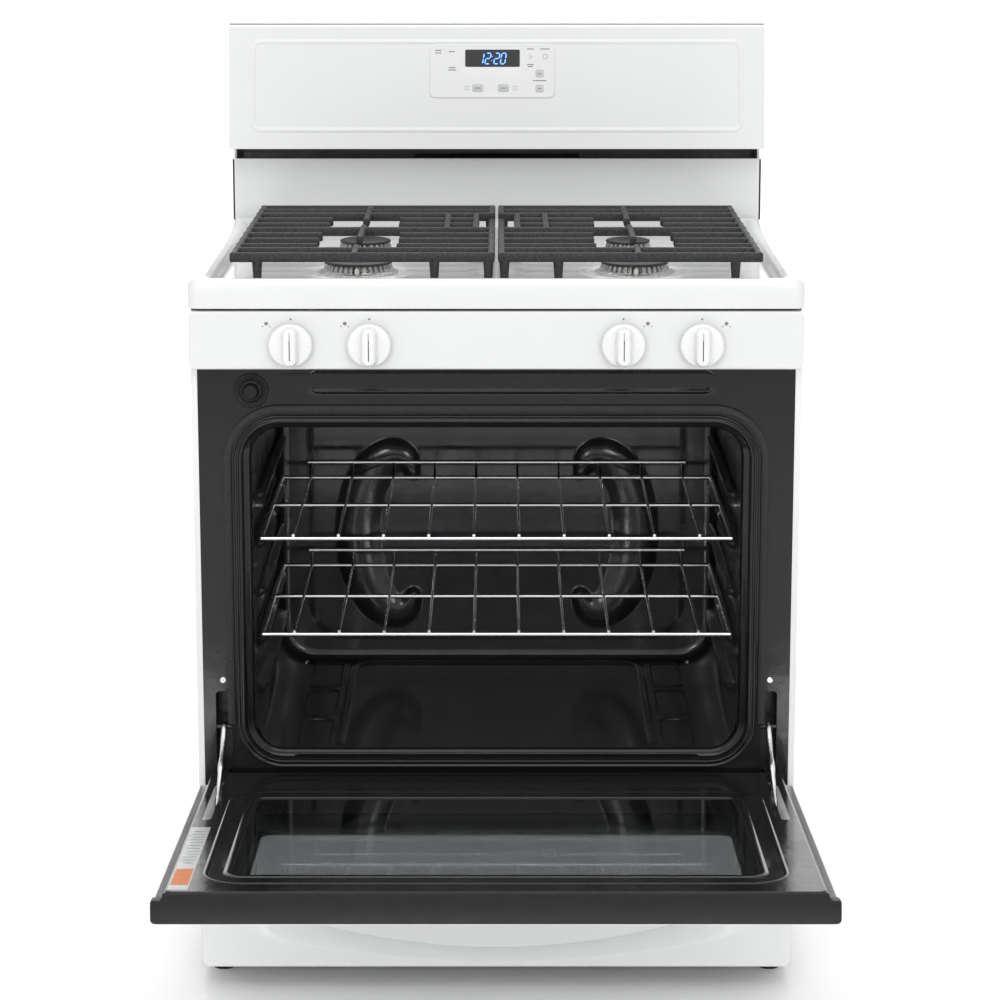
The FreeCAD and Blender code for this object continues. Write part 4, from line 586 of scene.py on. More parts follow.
def burner_grids(bx, by, cap):
    """Base, slotted head and cap of one burner.

    The head's radius is r - 2.2 mm where cos(n a) > 0.35, which leaves the slots between teeth.
    """
    centre = (bx * MM, frame_y + by * MM, 0.0)
    low = pan_z
    base = [(cap + 7.0, -0.4), (cap + 7.0, 0.9), (cap + 6.2, 1.5), (cap + 4.6, 1.7), (cap + 2.4, 2.3),
            (cap + 1.2, 3.4), (cap - 1.0, 4.2), (cap - 6.0, 4.4), (10.0, 4.4)]
    base_grid = turned([(r * MM, low + z * MM) for r, z in base], centre, "Z", 96)
    teeth = int(cap * 0.8)
    steps = teeth * 8
    angle = 2.0 * math.pi * np.arange(steps) / steps
    slot = smooth_step((np.cos(teeth * angle) - 0.2) / 0.3)
    notch = smooth_step((0.13 - np.abs(np.angle(np.exp(1j * (angle + math.pi / 2))))) / 0.04)
    rows = []
    for radius, z, depth in ((cap + 1.0, 3.2, 0.0), (cap + 1.0, 4.6, 0.0), (cap + 0.6, 5.2, 1.0),
                             (cap - 0.6, 8.4, 1.0), (cap - 2.0, 12.0, 1.0)):
        r = (radius - 3.4 * slot * depth - 6.0 * notch) * MM
        rows.append(np.stack([r * np.cos(angle), r * np.sin(angle), np.full(steps, low + z * MM)], axis=-1))
    head = np.stack(rows) + np.array(centre)
    cap_steps = 144
    turn = 2.0 * math.pi * np.arange(cap_steps) / cap_steps
    wave = 0.5 * np.cos(36 * turn)
    rows = []
    for r, z, share in ((0.0, 12.0, 0.0), (cap - 4.0, 12.0, 0.0), (cap - 0.6, 12.05, 1.0),
                        (cap - 0.1, 12.7, 0.8), (cap - 0.3, 13.8, 0.3), (cap - 1.2, 15.0, 0.0),
                        (cap - 3.0, 15.7, 0.0),
                        (cap - 7.0, 15.85, 0.0), (cap * 0.5, 15.95, 0.0), (0.0, 16.0, 0.0)):
        radius = (r - 0.5 * share + wave * share * 0.9) * MM
        rows.append(np.stack([radius * np.cos(turn), radius * np.sin(turn),
                              np.full(cap_steps, low + z * MM)], axis=-1))
    return base_grid, (head, False, True), (np.stack(rows) + np.array(centre), False, True)


bases, heads, caps = zip(*[burner_grids(*burner) for burner in BURNERS])
base_piece = grids_piece("burner_feet", bases, burner_metal, 35.0)
place_piece(base_piece, "cabinet", ["burner_bases"])
head_piece = grids_piece("burner_crowns", heads, burner_metal, 35.0)
place_piece(head_piece, "cabinet", ["burner_heads"])
cap_piece = grids_piece("burner_covers", caps, cap_enamel, 40.0)
place_piece(cap_piece, "cabinet", ["burner_caps"])
dress(["oven_igniter", "spark_igniters"], ceramic)
dress(["regulator"], burner_metal)

# ---- Cast iron grates -----------------------------------------------------------------------
# Each grate is one casting: crowned bars, fingers that reach over the burners, six short feet.
# It is matt black enamel with the grain of the sand mould, mottled a little lighter and darker.
cast_iron = new_material("cast_iron", (0.028, 0.028, 0.030), 0.46)
cast_iron.node_tree.nodes["Principled BSDF"].inputs["Specular IOR Level"].default_value = 0.34
add_mottle(cast_iron, 420.0, (0.010, 0.010, 0.011), (0.038, 0.038, 0.040))
add_bump(cast_iron, 900.0, 0.7, 0.0007)
add_bump(cast_iron, 220.0, 0.35, 0.0010)
grate_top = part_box("grate_right")[1].z
grate_front = frame_y + 33.0 * MM
grate_deep = 491.0 * MM
BAR = 9.0 * MM


def cast_bar(start, end, wide, tall, ends=1.0):
    """Cast bar between two points of its top line, as a superellipse swept along it.

    x = w/2 |cos a|^0.55 and z = t/2 |sin a|^0.55 with their signs, drawn in over both ends.
    """
    start = np.array(start, float)
    end = np.array(end, float)
    length = np.linalg.norm(end - start)
    along = (end - start) / length
    up = np.array([0.0, 0.0, 1.0]) if abs(along[2]) < 0.7 else np.array([0.0, 1.0, 0.0])
    side = np.cross(along, up)
    side = side / np.linalg.norm(side)
    up = np.cross(side, along)
    angle = 2.0 * math.pi * (np.arange(16) + 0.5) / 16
    u = np.sign(np.cos(angle)) * np.abs(np.cos(angle)) ** 0.55
    v = np.sign(np.sin(angle)) * np.abs(np.sin(angle)) ** 0.55
    count = max(int(length / (9.0 * MM)), 3)
    inner = np.linspace(1.6 * MM, length - 1.6 * MM, count)
    places = np.concatenate([[0.0, 0.0, 0.5 * MM], inner, [length - 0.5 * MM, length, length]])
    size = np.concatenate([[0.0, 0.62, 0.88], np.ones(count), [0.88, 0.62, 0.0]])
    ripple = 1.0 + 0.025 * np.sin(places * 391.0 + start[0] * 977.0) + 0.02 * np.sin(places * 983.0)
    width = (wide / 2 * size * np.minimum(ripple, 1.0))[:, None]
    height = (tall / 2 * size)[:, None]
    taper = 1.0 + 0.0 * v - 0.12 * np.maximum(v, 0.0) * ends
    centre = start + along * places[:, None] - up * tall / 2
    points = centre[:, None, :] + side * (width * u * taper)[..., None] + up * (height * v)[..., None]
    return points, False, True


def grate_grids(sign):
    """All bars of one grate; fractions are measured from its back."""
    inner = 2.0 * MM
    outer = inner + 329.0 * MM
    burner_x = 177.0 * MM
    back = grate_front + grate_deep
    grids = []

    def y_at(fraction):
        """Depth of a bar's middle line."""
        return back - BAR / 2 - fraction * (grate_deep - BAR)

    def across(x0, x1, fraction, tall=12.0 * MM, top=grate_top):
        """Bar from side to side."""
        grids.append(cast_bar((sign * x0, y_at(fraction), top), (sign * x1, y_at(fraction), top), BAR, tall))

    def along(x, rear, front, top=grate_top, tall=12.0 * MM):
        """Bar from back to front."""
        grids.append(cast_bar((sign * x, y_at(front) - BAR / 2, top), (sign * x, y_at(rear) + BAR / 2, top),
                              BAR, tall))

    for fraction in (0.0, 0.08, 0.165, 0.49, 0.90, 1.0):
        across(inner, outer, fraction)
    for fraction, gap in ((0.28, 45.0), (0.39, 46.0), (0.60, 50.0), (0.71, 51.0), (0.82, 50.0)):
        across(inner + 24.0 * MM if fraction < 0.49 else inner, burner_x - gap * MM, fraction)
        across(burner_x + gap * MM, outer, fraction)
    along(outer - BAR / 2, 0.0, 1.0)
    along(inner + BAR / 2, 0.0, 0.165)
    along(inner + BAR / 2, 0.49, 1.0)
    along(inner + BAR / 2, 0.165, 0.49, grate_top - 7.0 * MM, 5.0 * MM)
    along(inner + 64.0 * MM, 0.165, 0.49)
    along(inner + 26.0 * MM, 0.165, 0.49)
    along(burner_x, 0.0, 0.29)
    along(burner_x, 0.44, 0.68)
    along(burner_x, 0.85, 1.0)
    for x in (outer - 34.0 * MM, inner + 75.0 * MM, inner + 8.0 * MM):
        for fraction in (0.0, 1.0):
            foot_y = y_at(fraction)
            foot = [(0.0, 0.35), (3.6, 0.35), (4.4, 0.9), (4.5, 3.0), (4.5, 20.0), (4.5, 33.0), (0.0, 34.0)]
            post = turned([(r * MM, pan_z + z * MM) for r, z in foot], (sign * x, foot_y, 0.0), "Z", 20)
            flared = post[0]
            share = np.clip((flared[..., 2] - pan_z) / (34.0 * MM), 0.0, 1.0)
            flared[..., 0] = sign * x + (flared[..., 0] - sign * x) * (1.0 + 0.5 * share)
            grids.append((flared, False, True))
    return grids


for sign, side in ((-1, "left"), (1, "right")):
    grate_piece = grids_piece("grate_casting_" + side, grate_grids(sign), cast_iron, 45.0)
    place_piece(grate_piece, "grate_" + side, ["grate_" + side])

# ---- Oven front frame and mouth -------------------------------------------------------------
# Black porcelain enamel on steel, glossy like glass with a faint ripple. The mouth's flange is
# two rolled rings, with a braided glass-fibre seal clipped round it.
black_enamel = new_material("black_enamel", (0.008, 0.008, 0.009), 0.13, coat=0.2, coat_roughness=0.05)
add_smears(black_enamel, 18.0, 0.10, 0.22)
add_bump(black_enamel, 150.0, 0.14, 0.0007)
add_bump(black_enamel, 26.0, 0.20, 0.0030)
black_enamel.node_tree.nodes["Principled BSDF"].inputs["Specular IOR Level"].default_value = 0.3
dress(["front_frame", "flue_duct", "door_liner"], black_enamel)
dark_steel = new_material("dark_steel", (0.06, 0.06, 0.062), 0.38, metallic=0.8)
add_smears(dark_steel, 120.0, 0.3, 0.5)
add_bump(dark_steel, 300.0, 0.2, 0.0004)
dress(["hinge_receivers"], dark_steel)
mouth = (-317.5 * MM, 317.5 * MM, 296.0 * MM, 733.0 * MM)


def mouth_rings(profile, runs=(40, 60)):
    """Rings round the oven mouth; the profile gives (outset from its edge, distance behind)."""
    rows = []
    for outset, behind in profile:
        loop = rounded_loop(mouth[0] - outset * MM, mouth[1] + outset * MM, mouth[2] - outset * MM,
                            mouth[3] + outset * MM, (48.0 + outset) * MM, 20, runs)
        rows.append(np.stack([loop[:, 0], np.full(len(loop), frame_y + behind * MM), loop[:, 1]], axis=-1))
    return np.stack(rows), False, True


flange = [(9.4, -0.1), (9.3, -3.2), (8.8, -4.6), (7.8, -5.2), (6.8, -5.0), (6.0, -4.0), (5.2, -3.3),
          (4.2, -3.3), (3.4, -4.1), (2.4, -5.2), (1.2, -5.4), (0.2, -4.8), (-0.5, -3.2), (-0.7, 0.0),
          (-0.7, 9.0), (-2.5, 11.0), (-6.5, 12.0), (-9.0, 14.0), (-10.4, 18.0)]
flange_piece = grids_piece("mouth_flange", [mouth_rings(flange)], black_enamel, 50.0)
place_piece(flange_piece, "cabinet")


def slab_distance(x, y, cx, cy, hx, hy, radius):
    """Signed distance to a rounded rectangle, negative inside it."""
    qx = np.abs(x - cx) - hx + radius
    qy = np.abs(y - cy) - hy + radius
    outside = np.hypot(np.maximum(qx, 0.0), np.maximum(qy, 0.0))
    return outside + np.minimum(np.maximum(qx, qy), 0.0) - radius


def frame_bead():
    """Long rounded bead pressed in the frame above the mouth: height h exp(-(d / w)^2)."""
    x = np.linspace(-240.0 * MM, 278.0 * MM, 380)
    z = np.linspace(panel_low.z - 36.0 * MM, panel_low.z - 1.0 * MM, 60)
    gx, gz = np.meshgrid(x, z)
    away = slab_distance(gx, gz, 19.0 * MM, panel_low.z - 19.0 * MM, 250.0 * MM, 11.0 * MM, 10.0 * MM)
    rise = 0.15 * MM + 2.4 * MM * np.exp(-(away / (2.4 * MM)) ** 2)
    return np.stack([gx, frame_y - rise, gz], axis=-1), False, False


bead_piece = grids_piece("frame_bead", [frame_bead()], black_enamel, 60.0)
place_piece(bead_piece, "cabinet")

gasket_fibre = new_material("gasket_braid", (0.02, 0.02, 0.02), 0.9)
add_mottle(gasket_fibre, 900.0, (0.010, 0.010, 0.010), (0.045, 0.044, 0.042))
add_bump(gasket_fibre, 1400.0, 0.8, 0.0010)


def gasket_points():
    """Flattened tube on three sides of the mouth, with the braid's crossing ridges.

    The radius is R (1 + 0.07 |sin(5 a + k s)| + 0.07 |sin(5 a - k s)|) along its length s.
    """
    outset = 17.0 * MM
    turns, upright, level = 40, 320, 440
    loop = rounded_loop(mouth[0] - outset, mouth[1] + outset, mouth[2] - outset, mouth[3] + outset,
                        65.0 * MM, turns, (upright, level))
    loop = np.roll(loop, -turns, axis=0)[:upright + turns + level + turns + upright]
    loop = loop[loop[:, 1] > 337.0 * MM]
    step = np.gradient(loop, axis=0)
    length = np.hypot(step[:, 0], step[:, 1])
    normal = np.stack([step[:, 1], -step[:, 0]], axis=1) / length[:, None]
    run = np.cumsum(length)[:, None]
    angle = 2.0 * math.pi * np.arange(20) / 20
    twist = 900.0 * run
    weave = 1.0 + 0.07 * np.abs(np.sin(5 * angle + twist)) + 0.07 * np.abs(np.sin(5 * angle - twist))
    out = 4.2 * MM * weave * np.cos(angle)
    depth = 3.0 * MM * weave * np.sin(angle)
    x = loop[:, :1] + normal[:, :1] * out
    z = loop[:, 1:] + normal[:, 1:] * out
    return np.stack([x, frame_y - 3.4 * MM + depth, z], axis=-1), False, True


gasket_piece = grids_piece("braided_seal", [gasket_points()], gasket_fibre, 180.0)
place_piece(gasket_piece, "cabinet", ["door_gasket"])

# ---- Oven box -------------------------------------------------------------------------------
# A welded box of thin steel under the same black enamel. The sides have five pressed rack
# guides each; the back wall has a raised field with two bowed ribs; the floor lifts out.
cavity_enamel = new_material("oven_enamel", (0.012, 0.012, 0.013), 0.2, coat=0.25, coat_roughness=0.1)
add_smears(cavity_enamel, 22.0, 0.11, 0.26)
add_mottle(cavity_enamel, 1500.0, (0.010, 0.010, 0.011), (0.024, 0.024, 0.026))
add_bump(cavity_enamel, 130.0, 0.16, 0.0008)
add_bump(cavity_enamel, 22.0, 0.22, 0.0035)
half_cavity = 306.0 * MM
cavity_back = frame_y + 455.0 * MM
cavity_floor = 300.0 * MM
cavity_top = 745.0 * MM
rack_tops = [448.5 + 62.75 * level for level in range(-1, 4)]


def oven_walls():
    """Rounded tube from the mouth to the back wall.

    Each guide pushes the side wall in by 14 mm x p(z) x e(y): p is a sharp shoulder on top and
    a long slope below, and e rounds off the guide's two ends.
    """
    y = np.concatenate([frame_y + np.array([17.5, 22.0, 30.0]) * MM,
                        np.linspace(frame_y + 40.0 * MM, cavity_back - 14.0 * MM, 96)])
    loop = rounded_loop(-half_cavity, half_cavity, cavity_floor - 1.0 * MM, cavity_top,
                        50.0 * MM, 14, (230, 24))
    side = np.sign(loop[:, 0]) * (np.abs(loop[:, 0]) > half_cavity - 0.1 * MM)
    push = np.zeros(len(loop))
    for wire in rack_tops:
        top = (wire - 3.4) * MM
        shoulder = smooth_step((top - loop[:, 1]) / (2.0 * MM))
        slope = smooth_step((loop[:, 1] - top + 19.0 * MM) / (12.0 * MM))
        push = np.maximum(push, shoulder * slope)
    ends = smooth_step((y - frame_y - 45.0 * MM) / (18.0 * MM)) * \
        smooth_step((frame_y + 430.0 * MM - y) / (18.0 * MM))
    x = loop[:, 0] - side * 13.8 * MM * push * ends[:, None]
    z = np.broadcast_to(loop[:, 1], x.shape)
    rows = [np.stack([x, np.broadcast_to(y[:, None], x.shape), z], axis=-1)]
    for angle in np.linspace(0.1, math.pi / 2, 8):
        inset = 14.0 * MM * (1.0 - math.cos(angle))
        curved = rounded_loop(-half_cavity + inset, half_cavity - inset, cavity_floor - MM + inset,
                              cavity_top - inset, 50.0 * MM - inset * 0.5, 14, (230, 24))
        depth = np.full(len(curved), cavity_back - 14.0 * MM + 13.6 * MM * math.sin(angle))
        rows.append(np.stack([curved[:, 0], depth, curved[:, 1]], axis=-1)[None])
    return np.concatenate(rows), False, True


def bowed_rib(x, z):
    """Height of the bowed ribs: a broad dome 1 - d^2 along a hooked line on each side.

    d is the distance from the line over the rib's half width there.
    """
    line_x = np.array([118, 124, 138, 158, 178, 193, 198, 193, 178, 158, 138, 124, 118])
    line_z = np.array([572, 590, 598, 594, 572, 532, 484, 436, 396, 372, 368, 378, 394])
    line_w = np.array([22, 36, 48, 54, 60, 63, 64, 63, 60, 54, 48, 36, 22])
    knots = np.arange(len(line_x))
    place = np.linspace(0, knots[-1], 140)
    spine_x = np.interp(place, knots, line_x)
    spine_z = np.interp(place, knots, line_z)
    spine_w = np.interp(place, knots, line_w)
    for spine in (spine_x, spine_z):
        padded = np.pad(spine, 9, mode="reflect", reflect_type="odd")
        spine[:] = np.convolve(padded, np.ones(19) / 19, "valid")
    away = np.hypot(np.abs(x)[..., None] / MM - spine_x, z[..., None] / MM - spine_z) / (spine_w / 2)
    return np.clip(1.0 - away.min(axis=-1) ** 2, 0.0, 1.0)


def step_in(distance, width):
    """1 inside an outline and 0 outside it, with a smooth shoulder t^2 (3 - 2 t)."""
    t = np.clip(0.5 - distance / width, 0.0, 1.0)
    return t * t * (3.0 - 2.0 * t)


def oven_back():
    """Back wall as a height field: raised field, bowed ribs, a border ridge."""
    x = np.linspace(-half_cavity + 2.0 * MM, half_cavity - 2.0 * MM, 245)
    z = np.linspace(cavity_floor + 1.0 * MM, cavity_top - 2.0 * MM, 179)
    gx, gz = np.meshgrid(x, z)
    field = slab_distance(gx, gz, 0.0, 522.0 * MM, 262.0 * MM, 190.0 * MM, 46.0 * MM)
    rise = 1.4 * MM * step_in(field, 9.0 * MM) + 8.0 * MM * bowed_rib(gx, gz)
    return np.stack([gx, cavity_back - 0.3 * MM - rise, gz], axis=-1), False, False


walls_piece = grids_piece("oven_box", [oven_walls(), oven_back()], cavity_enamel, 60.0)
place_piece(walls_piece, "cabinet", ["oven_liner"])


def oven_floor():
    """Lift-out floor: a sunk tray with a beaded rim and three rounded slots on each side."""
    x = np.linspace(-257.0 * MM, 257.0 * MM, 230)
    y = np.linspace(frame_y + 9.0 * MM, cavity_back - 2.0 * MM, 200)
    gx, gy = np.meshgrid(x, y)
    middle = frame_y + 230.0 * MM
    tray = slab_distance(gx, gy, 0.0, middle, 192.0 * MM, 194.0 * MM, 26.0 * MM)
    z = cavity_floor - 8.0 * MM * step_in(tray, 12.0 * MM)
    z = z + 2.6 * MM * np.exp(-((tray - 9.0 * MM) / (5.0 * MM)) ** 2)
    for index in range(3):
        slot_y = frame_y + (49.0 + 55.5 + 133.0 * index) * MM
        slot = slab_distance(np.abs(gx), gy, 234.0 * MM, slot_y, 16.0 * MM, 55.5 * MM, 13.0 * MM)
        bead = 1.4 * MM * np.exp(-((slot - 5.0 * MM) / (2.6 * MM)) ** 2)
        z = z - 13.0 * MM * step_in(slot, 3.0 * MM) + bead
    edge = slab_distance(gx, gy, 0.0, middle, 256.0 * MM, 224.0 * MM, 6.0 * MM)
    z = z - 1.2 * MM * (1.0 - step_in(edge + 1.5 * MM, 3.0 * MM))
    return np.stack([gx, gy, z], axis=-1), False, False


floor_piece = grids_piece("oven_floor", [oven_floor()], cavity_enamel, 60.0)
place_piece(floor_piece, "cabinet", ["oven_floor_panel"])

# ---- Racks: bright chromed wire -------------------------------------------------------------
chrome = new_material("bright_chrome", (0.80, 0.80, 0.82), 0.14, metallic=1.0)
add_smears(chrome, 160.0, 0.08, 0.24)
add_bump(chrome, 500.0, 0.05, 0.0002)
dress(["rack_lower", "rack_upper"], chrome)

# ---- Hidden steel: base, back, drawer tray, burner space, pipes -----------------------------
# Bare coated sheet with a mottled face, and bright zinc plate on screws, links and pipes.
galvanised = new_material("galvanised", (0.55, 0.56, 0.57), 0.46, metallic=0.45)
add_mottle(galvanised, 60.0, (0.42, 0.43, 0.44), (0.64, 0.65, 0.66))
add_smears(galvanised, 35.0, 0.34, 0.52)
add_bump(galvanised, 140.0, 0.14, 0.0004)
dress(["base_rails", "base_cross_members", "burner_box", "drawer_box"], galvanised)
plated_steel = new_material("plated_steel", (0.70, 0.70, 0.70), 0.25, metallic=1.0)
add_smears(plated_steel, 90.0, 0.16, 0.34)
add_bump(plated_steel, 600.0, 0.1, 0.0002)
dress(["screws", "oven_burner", "temperature_probe", "gas_pipe"], plated_steel)
black_plastic = new_material("black_plastic", (0.012, 0.012, 0.013), 0.36)
add_smears(black_plastic, 60.0, 0.3, 0.46)
add_bump(black_plastic, 900.0, 0.16, 0.0003)
black_plastic.node_tree.nodes["Principled BSDF"].inputs["Specular IOR Level"].default_value = 0.2
dress(["switch_plunger", "switch_housing", "leg_1", "leg_2", "leg_3", "leg_4"], black_plastic)
brass = new_material("brass", (0.70, 0.52, 0.22), 0.3, metallic=1.0)
add_smears(brass, 120.0, 0.2, 0.42)
dress(["gas_valves", "valve_stem_1", "valve_stem_2", "valve_stem_3", "valve_stem_4"], brass)
fibre = new_material("fibre_blanket", (0.72, 0.66, 0.45), 0.95)
add_mottle(fibre, 40.0, (0.60, 0.54, 0.34), (0.80, 0.74, 0.54))
add_bump(fibre, 200.0, 0.8, 0.003)
dress(["insulation"], fibre)
board_green = new_material("circuit_board", (0.02, 0.12, 0.05), 0.4)
add_bump(board_green, 300.0, 0.2, 0.0004)
dress(["control_board"], board_green)
lamp_glass = new_material("lamp_glass", (0.55, 0.55, 0.53), 0.12)
add_smears(lamp_glass, 80.0, 0.08, 0.18)
dress(["oven_lamp"], lamp_glass)

# Round the door switch's button: a moulded collar with a raised lip, clipped in the frame.
switch_x = -304.0 * MM
switch_z = 772.6 * MM
collar = [(22.0, -0.1), (21.6, -1.5), (20.4, -2.4), (18.6, -2.2), (17.2, -1.2), (15.2, -1.0), (13.8, -2.6),
          (12.4, -4.2), (10.8, -4.6), (9.6, -4.0), (9.3, -2.0), (9.3, 0.5)]
collar_piece = grids_piece("switch_collar", [turned([(r * MM, frame_y + s * MM) for r, s in collar],
                                                    (switch_x, 0.0, switch_z), "Y", 72)], black_plastic, 50.0)
place_piece(collar_piece, "cabinet")

# ---- Door: panes, inner panel trim, end trim ------------------------------------------------
# The inner pane has a fired black border round its clear middle. A thin black frame holds it,
# and a moulded black trim with a stepped, rounded lobe at each end caps the door.
pivot_y = frame_y - 22.0 * MM
pivot_z = 268.8 * MM
OPEN = math.radians(86.0)


def door_points(x, s, n):
    """World points of the open door: s runs from the pivot to its far end, n out of the liner."""
    y = pivot_y + n * math.cos(OPEN) - s * math.sin(OPEN)
    z = pivot_z + n * math.sin(OPEN) + s * math.cos(OPEN)
    return np.stack([x, y, z], axis=-1)


def door_rings(steps, first, last=None, runs=(40, 60)):
    """Rings on the door between two rectangles (x0, x1, s0, s1, radius).

    Each step gives (share from the first to the last, outset in mm, height n in mm).
    """
    last = last or first
    rows = []
    for share, outset, n in steps:
        x0, x1, s0, s1, radius = [(a + (b - a) * share) * MM for a, b in zip(first, last)]
        loop = rounded_loop(x0 - outset * MM, x1 + outset * MM, s0 - outset * MM, s1 + outset * MM,
                            max(radius + outset * MM, 0.1 * MM), 12, runs)
        rows.append(door_points(loop[:, 0], loop[:, 1], np.full(len(loop), n * MM)))
    return np.stack(rows), False, True


frit = new_material("fired_border", (0.006, 0.006, 0.006), 0.07, coat=0.6, coat_roughness=0.02)
add_smears(frit, 30.0, 0.04, 0.12)
pane_outer = (-302.0, 302.0, 105.0, 459.0, 14.0)
pane_clear = (-281.5, 281.5, 183.0, 449.0, 16.0)
border_steps = [(0.0, -1.0, 12.82), (0.0, -1.0, 12.9), (1.0, 0.0, 12.9), (1.0, 0.0, 12.82)]
frit_piece = grids_piece("inner_pane_border", [door_rings(border_steps, pane_outer, pane_clear)], frit, 30.0)
place_piece(frit_piece, "door")
window_edge = (-294.0, 294.0, 113.0, 451.0, 12.0)
frame_steps = [(0.0, -1.4, 12.95), (0.0, -1.2, 13.9), (0.0, -0.2, 14.9), (0.0, 1.6, 15.4), (0.0, 4.6, 15.5),
               (0.0, 7.2, 15.1), (0.0, 9.0, 14.3), (0.0, 9.6, 13.9)]
ridge_steps = [(0.0, 26.0, 13.9), (0.0, 26.6, 14.5), (0.0, 28.2, 14.9), (0.0, 30.2, 14.9), (0.0, 31.8, 14.5),
               (0.0, 32.4, 13.9)]
frame_piece = grids_piece("inner_pane_frame", [door_rings(frame_steps, window_edge),
                                               door_rings(ridge_steps, window_edge)], black_enamel, 60.0)
place_piece(frame_piece, "door")

oven_glass = new_material("oven_glass", (0.60, 0.62, 0.62), 0.03, ior=1.45)
oven_glass.node_tree.nodes["Principled BSDF"].inputs["Transmission Weight"].default_value = 1.0
add_smears(oven_glass, 12.0, 0.01, 0.06)
dress(["door_glass", "door_inner_glass"], oven_glass)


def end_trim():
    """End trim: one outline across the door, drawn along its length and closed flat in front.

    The outline goes along the outer face, round each lobe, over the step, along the top.
    """
    half = [(0.0, -21.2), (370.0, -21.2), (373.4, -20.6), (375.2, -18.6), (375.9, -15.8), (375.9, -3.0),
            (375.5, 0.6), (373.8, 3.4), (371.0, 4.8), (367.0, 5.0), (364.4, 5.8), (363.0, 7.8), (362.6, 10.6),
            (361.8, 12.6), (360.0, 13.7), (357.6, 14.0), (0.0, 14.0)]
    right = np.array(half)
    cuts = []
    for a, b in zip(right[:-1], right[1:]):
        count = max(int(np.hypot(*(b - a)) / 6.0), 1)
        cuts.append(a + (b - a) * np.linspace(0.0, 1.0, count, endpoint=False)[:, None])
    right = np.concatenate(cuts + [right[-1:]])
    left = right[::-1][1:-1] * np.array([-1.0, 1.0])
    outline = np.concatenate([right, left])
    rows = []
    middle = -3.6
    for s, inset in ((516.6, 0.0), (518.4, 0.35), (519.2, 1.1), (519.5, 2.2)):
        n = outline[:, 1] + (middle - outline[:, 1]) * inset / 17.6
        x = outline[:, 0] * (1.0 - inset / 376.0)
        rows.append(door_points(x * MM, np.full(len(x), s * MM), n * MM))
    rows.append(door_points(outline[:, 0] * MM * 0.995, np.full(len(outline), 519.5 * MM),
                            np.full(len(outline), middle * MM)))
    return np.stack(rows), False, True


def end_lobe(side):
    """Short lobe that wraps round the door's corner behind the end trim."""
    loop = rounded_loop(362.8, 375.9, -20.6, 4.7, 3.0, 6, (8, 4))
    rows = []
    for s, inset in ((500.4, 5.9), (500.5, 2.0), (501.4, 0.6), (503.0, 0.0), (515.4, 0.0), (515.5, 5.9)):
        middle = np.array([369.35, -8.0])
        shape = loop + (middle - loop) * (inset / 12.0 if inset < 5.0 else 1.0)
        rows.append(door_points(side * shape[:, 0] * MM, np.full(len(loop), s * MM), shape[:, 1] * MM))
    return np.stack(rows), False, True


trim_piece = grids_piece("door_end_trim", [end_trim(), end_lobe(1), end_lobe(-1)], black_plastic, 40.0)
place_piece(trim_piece, "door", ["door_trim"])

# A bare foil sticker on the door's left rim, with an orange corner block and plain strokes.
foil = new_material("foil_sticker", (0.52, 0.53, 0.53), 0.34, metallic=0.6)
add_smears(foil, 120.0, 0.26, 0.44)
orange_ink = new_material("orange_ink", (0.62, 0.16, 0.03), 0.45)
add_mottle(orange_ink, 600.0, (0.50, 0.12, 0.02), (0.70, 0.20, 0.04))
STICKER = (-358.5, -336.0, 250.0, 506.0)


def sticker_slab(x0, x1, s0, s1, low, high):
    """Thin rectangle stuck on the liner."""
    steps = [(0.0, 0.0, low), (0.0, 0.0, high), (0.0, -(x1 - x0) * 0.498, high)]
    if s1 - s0 < x1 - x0:
        steps[2] = (0.0, -(s1 - s0) * 0.498, high)
    return door_rings(steps, (x0, x1, s0, s1, 0.6), runs=(6, 4))


foil_piece = grids_piece("sticker_foil", [sticker_slab(*STICKER, 13.95, 14.1)], foil, 30.0)
place_piece(foil_piece, "door")
block_piece = grids_piece("sticker_block", [sticker_slab(STICKER[0] + 1.5, STICKER[1] - 1.5, 425.0, 488.0,
                                                         14.05, 14.16)], orange_ink, 30.0)
place_piece(block_piece, "door")
strokes = []
for index in range(12):
    s = 268.0 + 12.0 * index
    left_end = STICKER[0] + 4.0 + index % 3
    right_end = STICKER[1] - 3.0 - index % 2
    strokes.append(sticker_slab(left_end, right_end, s, s + 2.4, 14.05, 14.16))
stroke_piece = grids_piece("sticker_strokes", strokes, print_grey, 30.0)
place_piece(stroke_piece, "door")

# ---- Hinge links ----------------------------------------------------------------------------
# Each link is a bright plated arm of two pressed leaves riveted at a joint, with waisted
# leaves and a domed rivet head at each end.
pin_y = frame_y + 5.0 * MM
pin_z = 338.0 * MM
end_point = door_points(np.array(0.0), np.array(89.0 * MM), np.array(-9.0 * MM))
LINK_STEPS = ((-0.052, 0.0), (-0.050, 3.2), (-0.040, 5.4), (-0.02, 6.8), (0.0, 7.0), (0.08, 6.4), (0.16, 4.6),
              (0.30, 3.9), (0.40, 4.6), (0.46, 6.3), (0.50, 6.8), (0.54, 6.3), (0.60, 4.8), (0.74, 4.2),
              (0.90, 5.0), (0.97, 6.2), (1.0, 6.2), (1.03, 5.0), (1.045, 0.0))


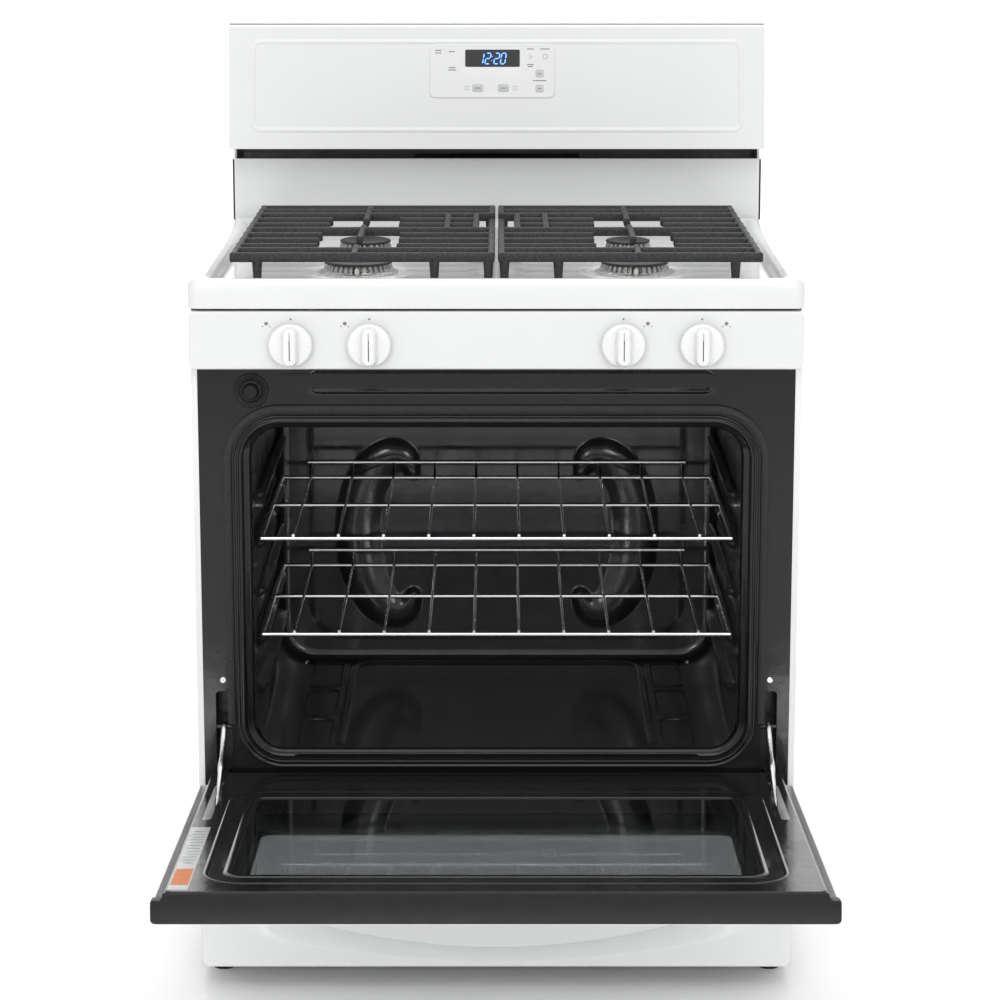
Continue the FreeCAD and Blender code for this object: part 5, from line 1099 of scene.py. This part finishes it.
def link_grids(side):
    """One link: leaves as rounded plates along the arm and three rivet heads."""
    start = np.array([side * 345.0 * MM, pin_y, pin_z])
    end = np.array([side * 345.0 * MM, end_point[1], end_point[2]])
    along = end - start
    length = np.linalg.norm(along)
    along = along / length
    wide = np.cross([1.0, 0.0, 0.0], along)
    section = rounded_loop(-1.0, 1.0, -1.0, 1.0, 0.45, 5, (2, 2))
    rows = []
    for share, half in LINK_STEPS:
        thick = 3.4 * MM if abs(share - 0.5) < 0.06 or share < 0.2 else 2.6 * MM
        centre = start + along * length * share
        rows.append(centre + section[:, :1] * thick * np.array([1.0, 0.0, 0.0])
                    + section[:, 1:] * max(half, 0.05) * MM * wide)
    grids = [(np.stack(rows), False, True)]
    for share in (0.0, 0.5, 0.97):
        centre = start + along * length * share
        dome = [(0.0, 3.5), (1.8, 3.4), (3.0, 2.9), (3.4, 2.2),
                (3.4, -2.2), (3.0, -2.9), (1.8, -3.4), (0.0, -3.5)]
        grids.append(turned([(r * MM, x * MM) for r, x in dome], centre, "X", 20))
    return grids


link_chrome = new_material("link_plate", (0.72, 0.72, 0.73), 0.2, metallic=1.0)
add_smears(link_chrome, 140.0, 0.12, 0.3)
add_bump(link_chrome, 400.0, 0.12, 0.0003)
link_piece = grids_piece("hinge_arms", link_grids(1) + link_grids(-1), link_chrome, 40.0)
place_piece(link_piece, "hinge_links", ["hinge_links"])

# ---- Drawer front ---------------------------------------------------------------------------
# Pressed and folded sheet under white enamel. The finger pull is deepest under its upper arc
# and ramps out to the face at its lower arc.
drawer_low, drawer_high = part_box("drawer_front")


def drawer_points():
    """Rings from the folded edge to the middle line, pushed back by the pull's depth.

    upper(x) = 55.5 + 850 - sqrt(850^2 - x^2), lower(x) = 36 + 1250 - sqrt(1250^2 - x^2).
    """
    rows = []
    height = drawer_high.z - drawer_low.z
    outline = (drawer_low.x, drawer_high.x, drawer_low.z, drawer_high.z)
    edge = [(2.0, 28.0), (0.3, 27.8), (0.0, 27.0), (0.0, 5.0), (0.25, 3.0), (0.9, 1.5), (2.0, 0.5),
            (3.4, 0.05)]
    for inset, behind in edge + [(v, 0.0) for v in np.linspace(4.4, height / 2 / MM - 0.02, 110)]:
        inset = inset * MM
        loop = rounded_loop(outline[0] + inset, outline[1] - inset, outline[2] + inset, outline[3] - inset,
                            max(9.0 * MM - inset, 0.01 * MM), 8, (60, 240))
        x = loop[:, 0] / MM
        z = loop[:, 1] / MM
        upper = 55.5 + 850.0 - np.sqrt(850.0 ** 2 - np.clip(x, -600, 600) ** 2)
        lower = 36.0 + 1250.0 - np.sqrt(1250.0 ** 2 - x ** 2)
        ramp = np.clip((z - lower) / (upper - lower), 0.0, 1.0)
        lip = smooth_step((upper + 1.2 - z) / 2.4)
        ends = smooth_step((345.0 - np.abs(x)) / 90.0)
        on_the_fold = behind > 0.4
        depth = np.zeros(len(x)) if on_the_fold else 14.0 * ramp ** 1.15 * lip * ends
        y = drawer_low.y + (behind + depth) * MM
        rows.append(np.stack([loop[:, 0], y, loop[:, 1]], axis=-1))
    return np.stack(rows), False, True


drawer_piece = grids_piece("drawer_pressing", [drawer_points()], white_enamel, 60.0)
place_piece(drawer_piece, "drawer", ["drawer_front"])
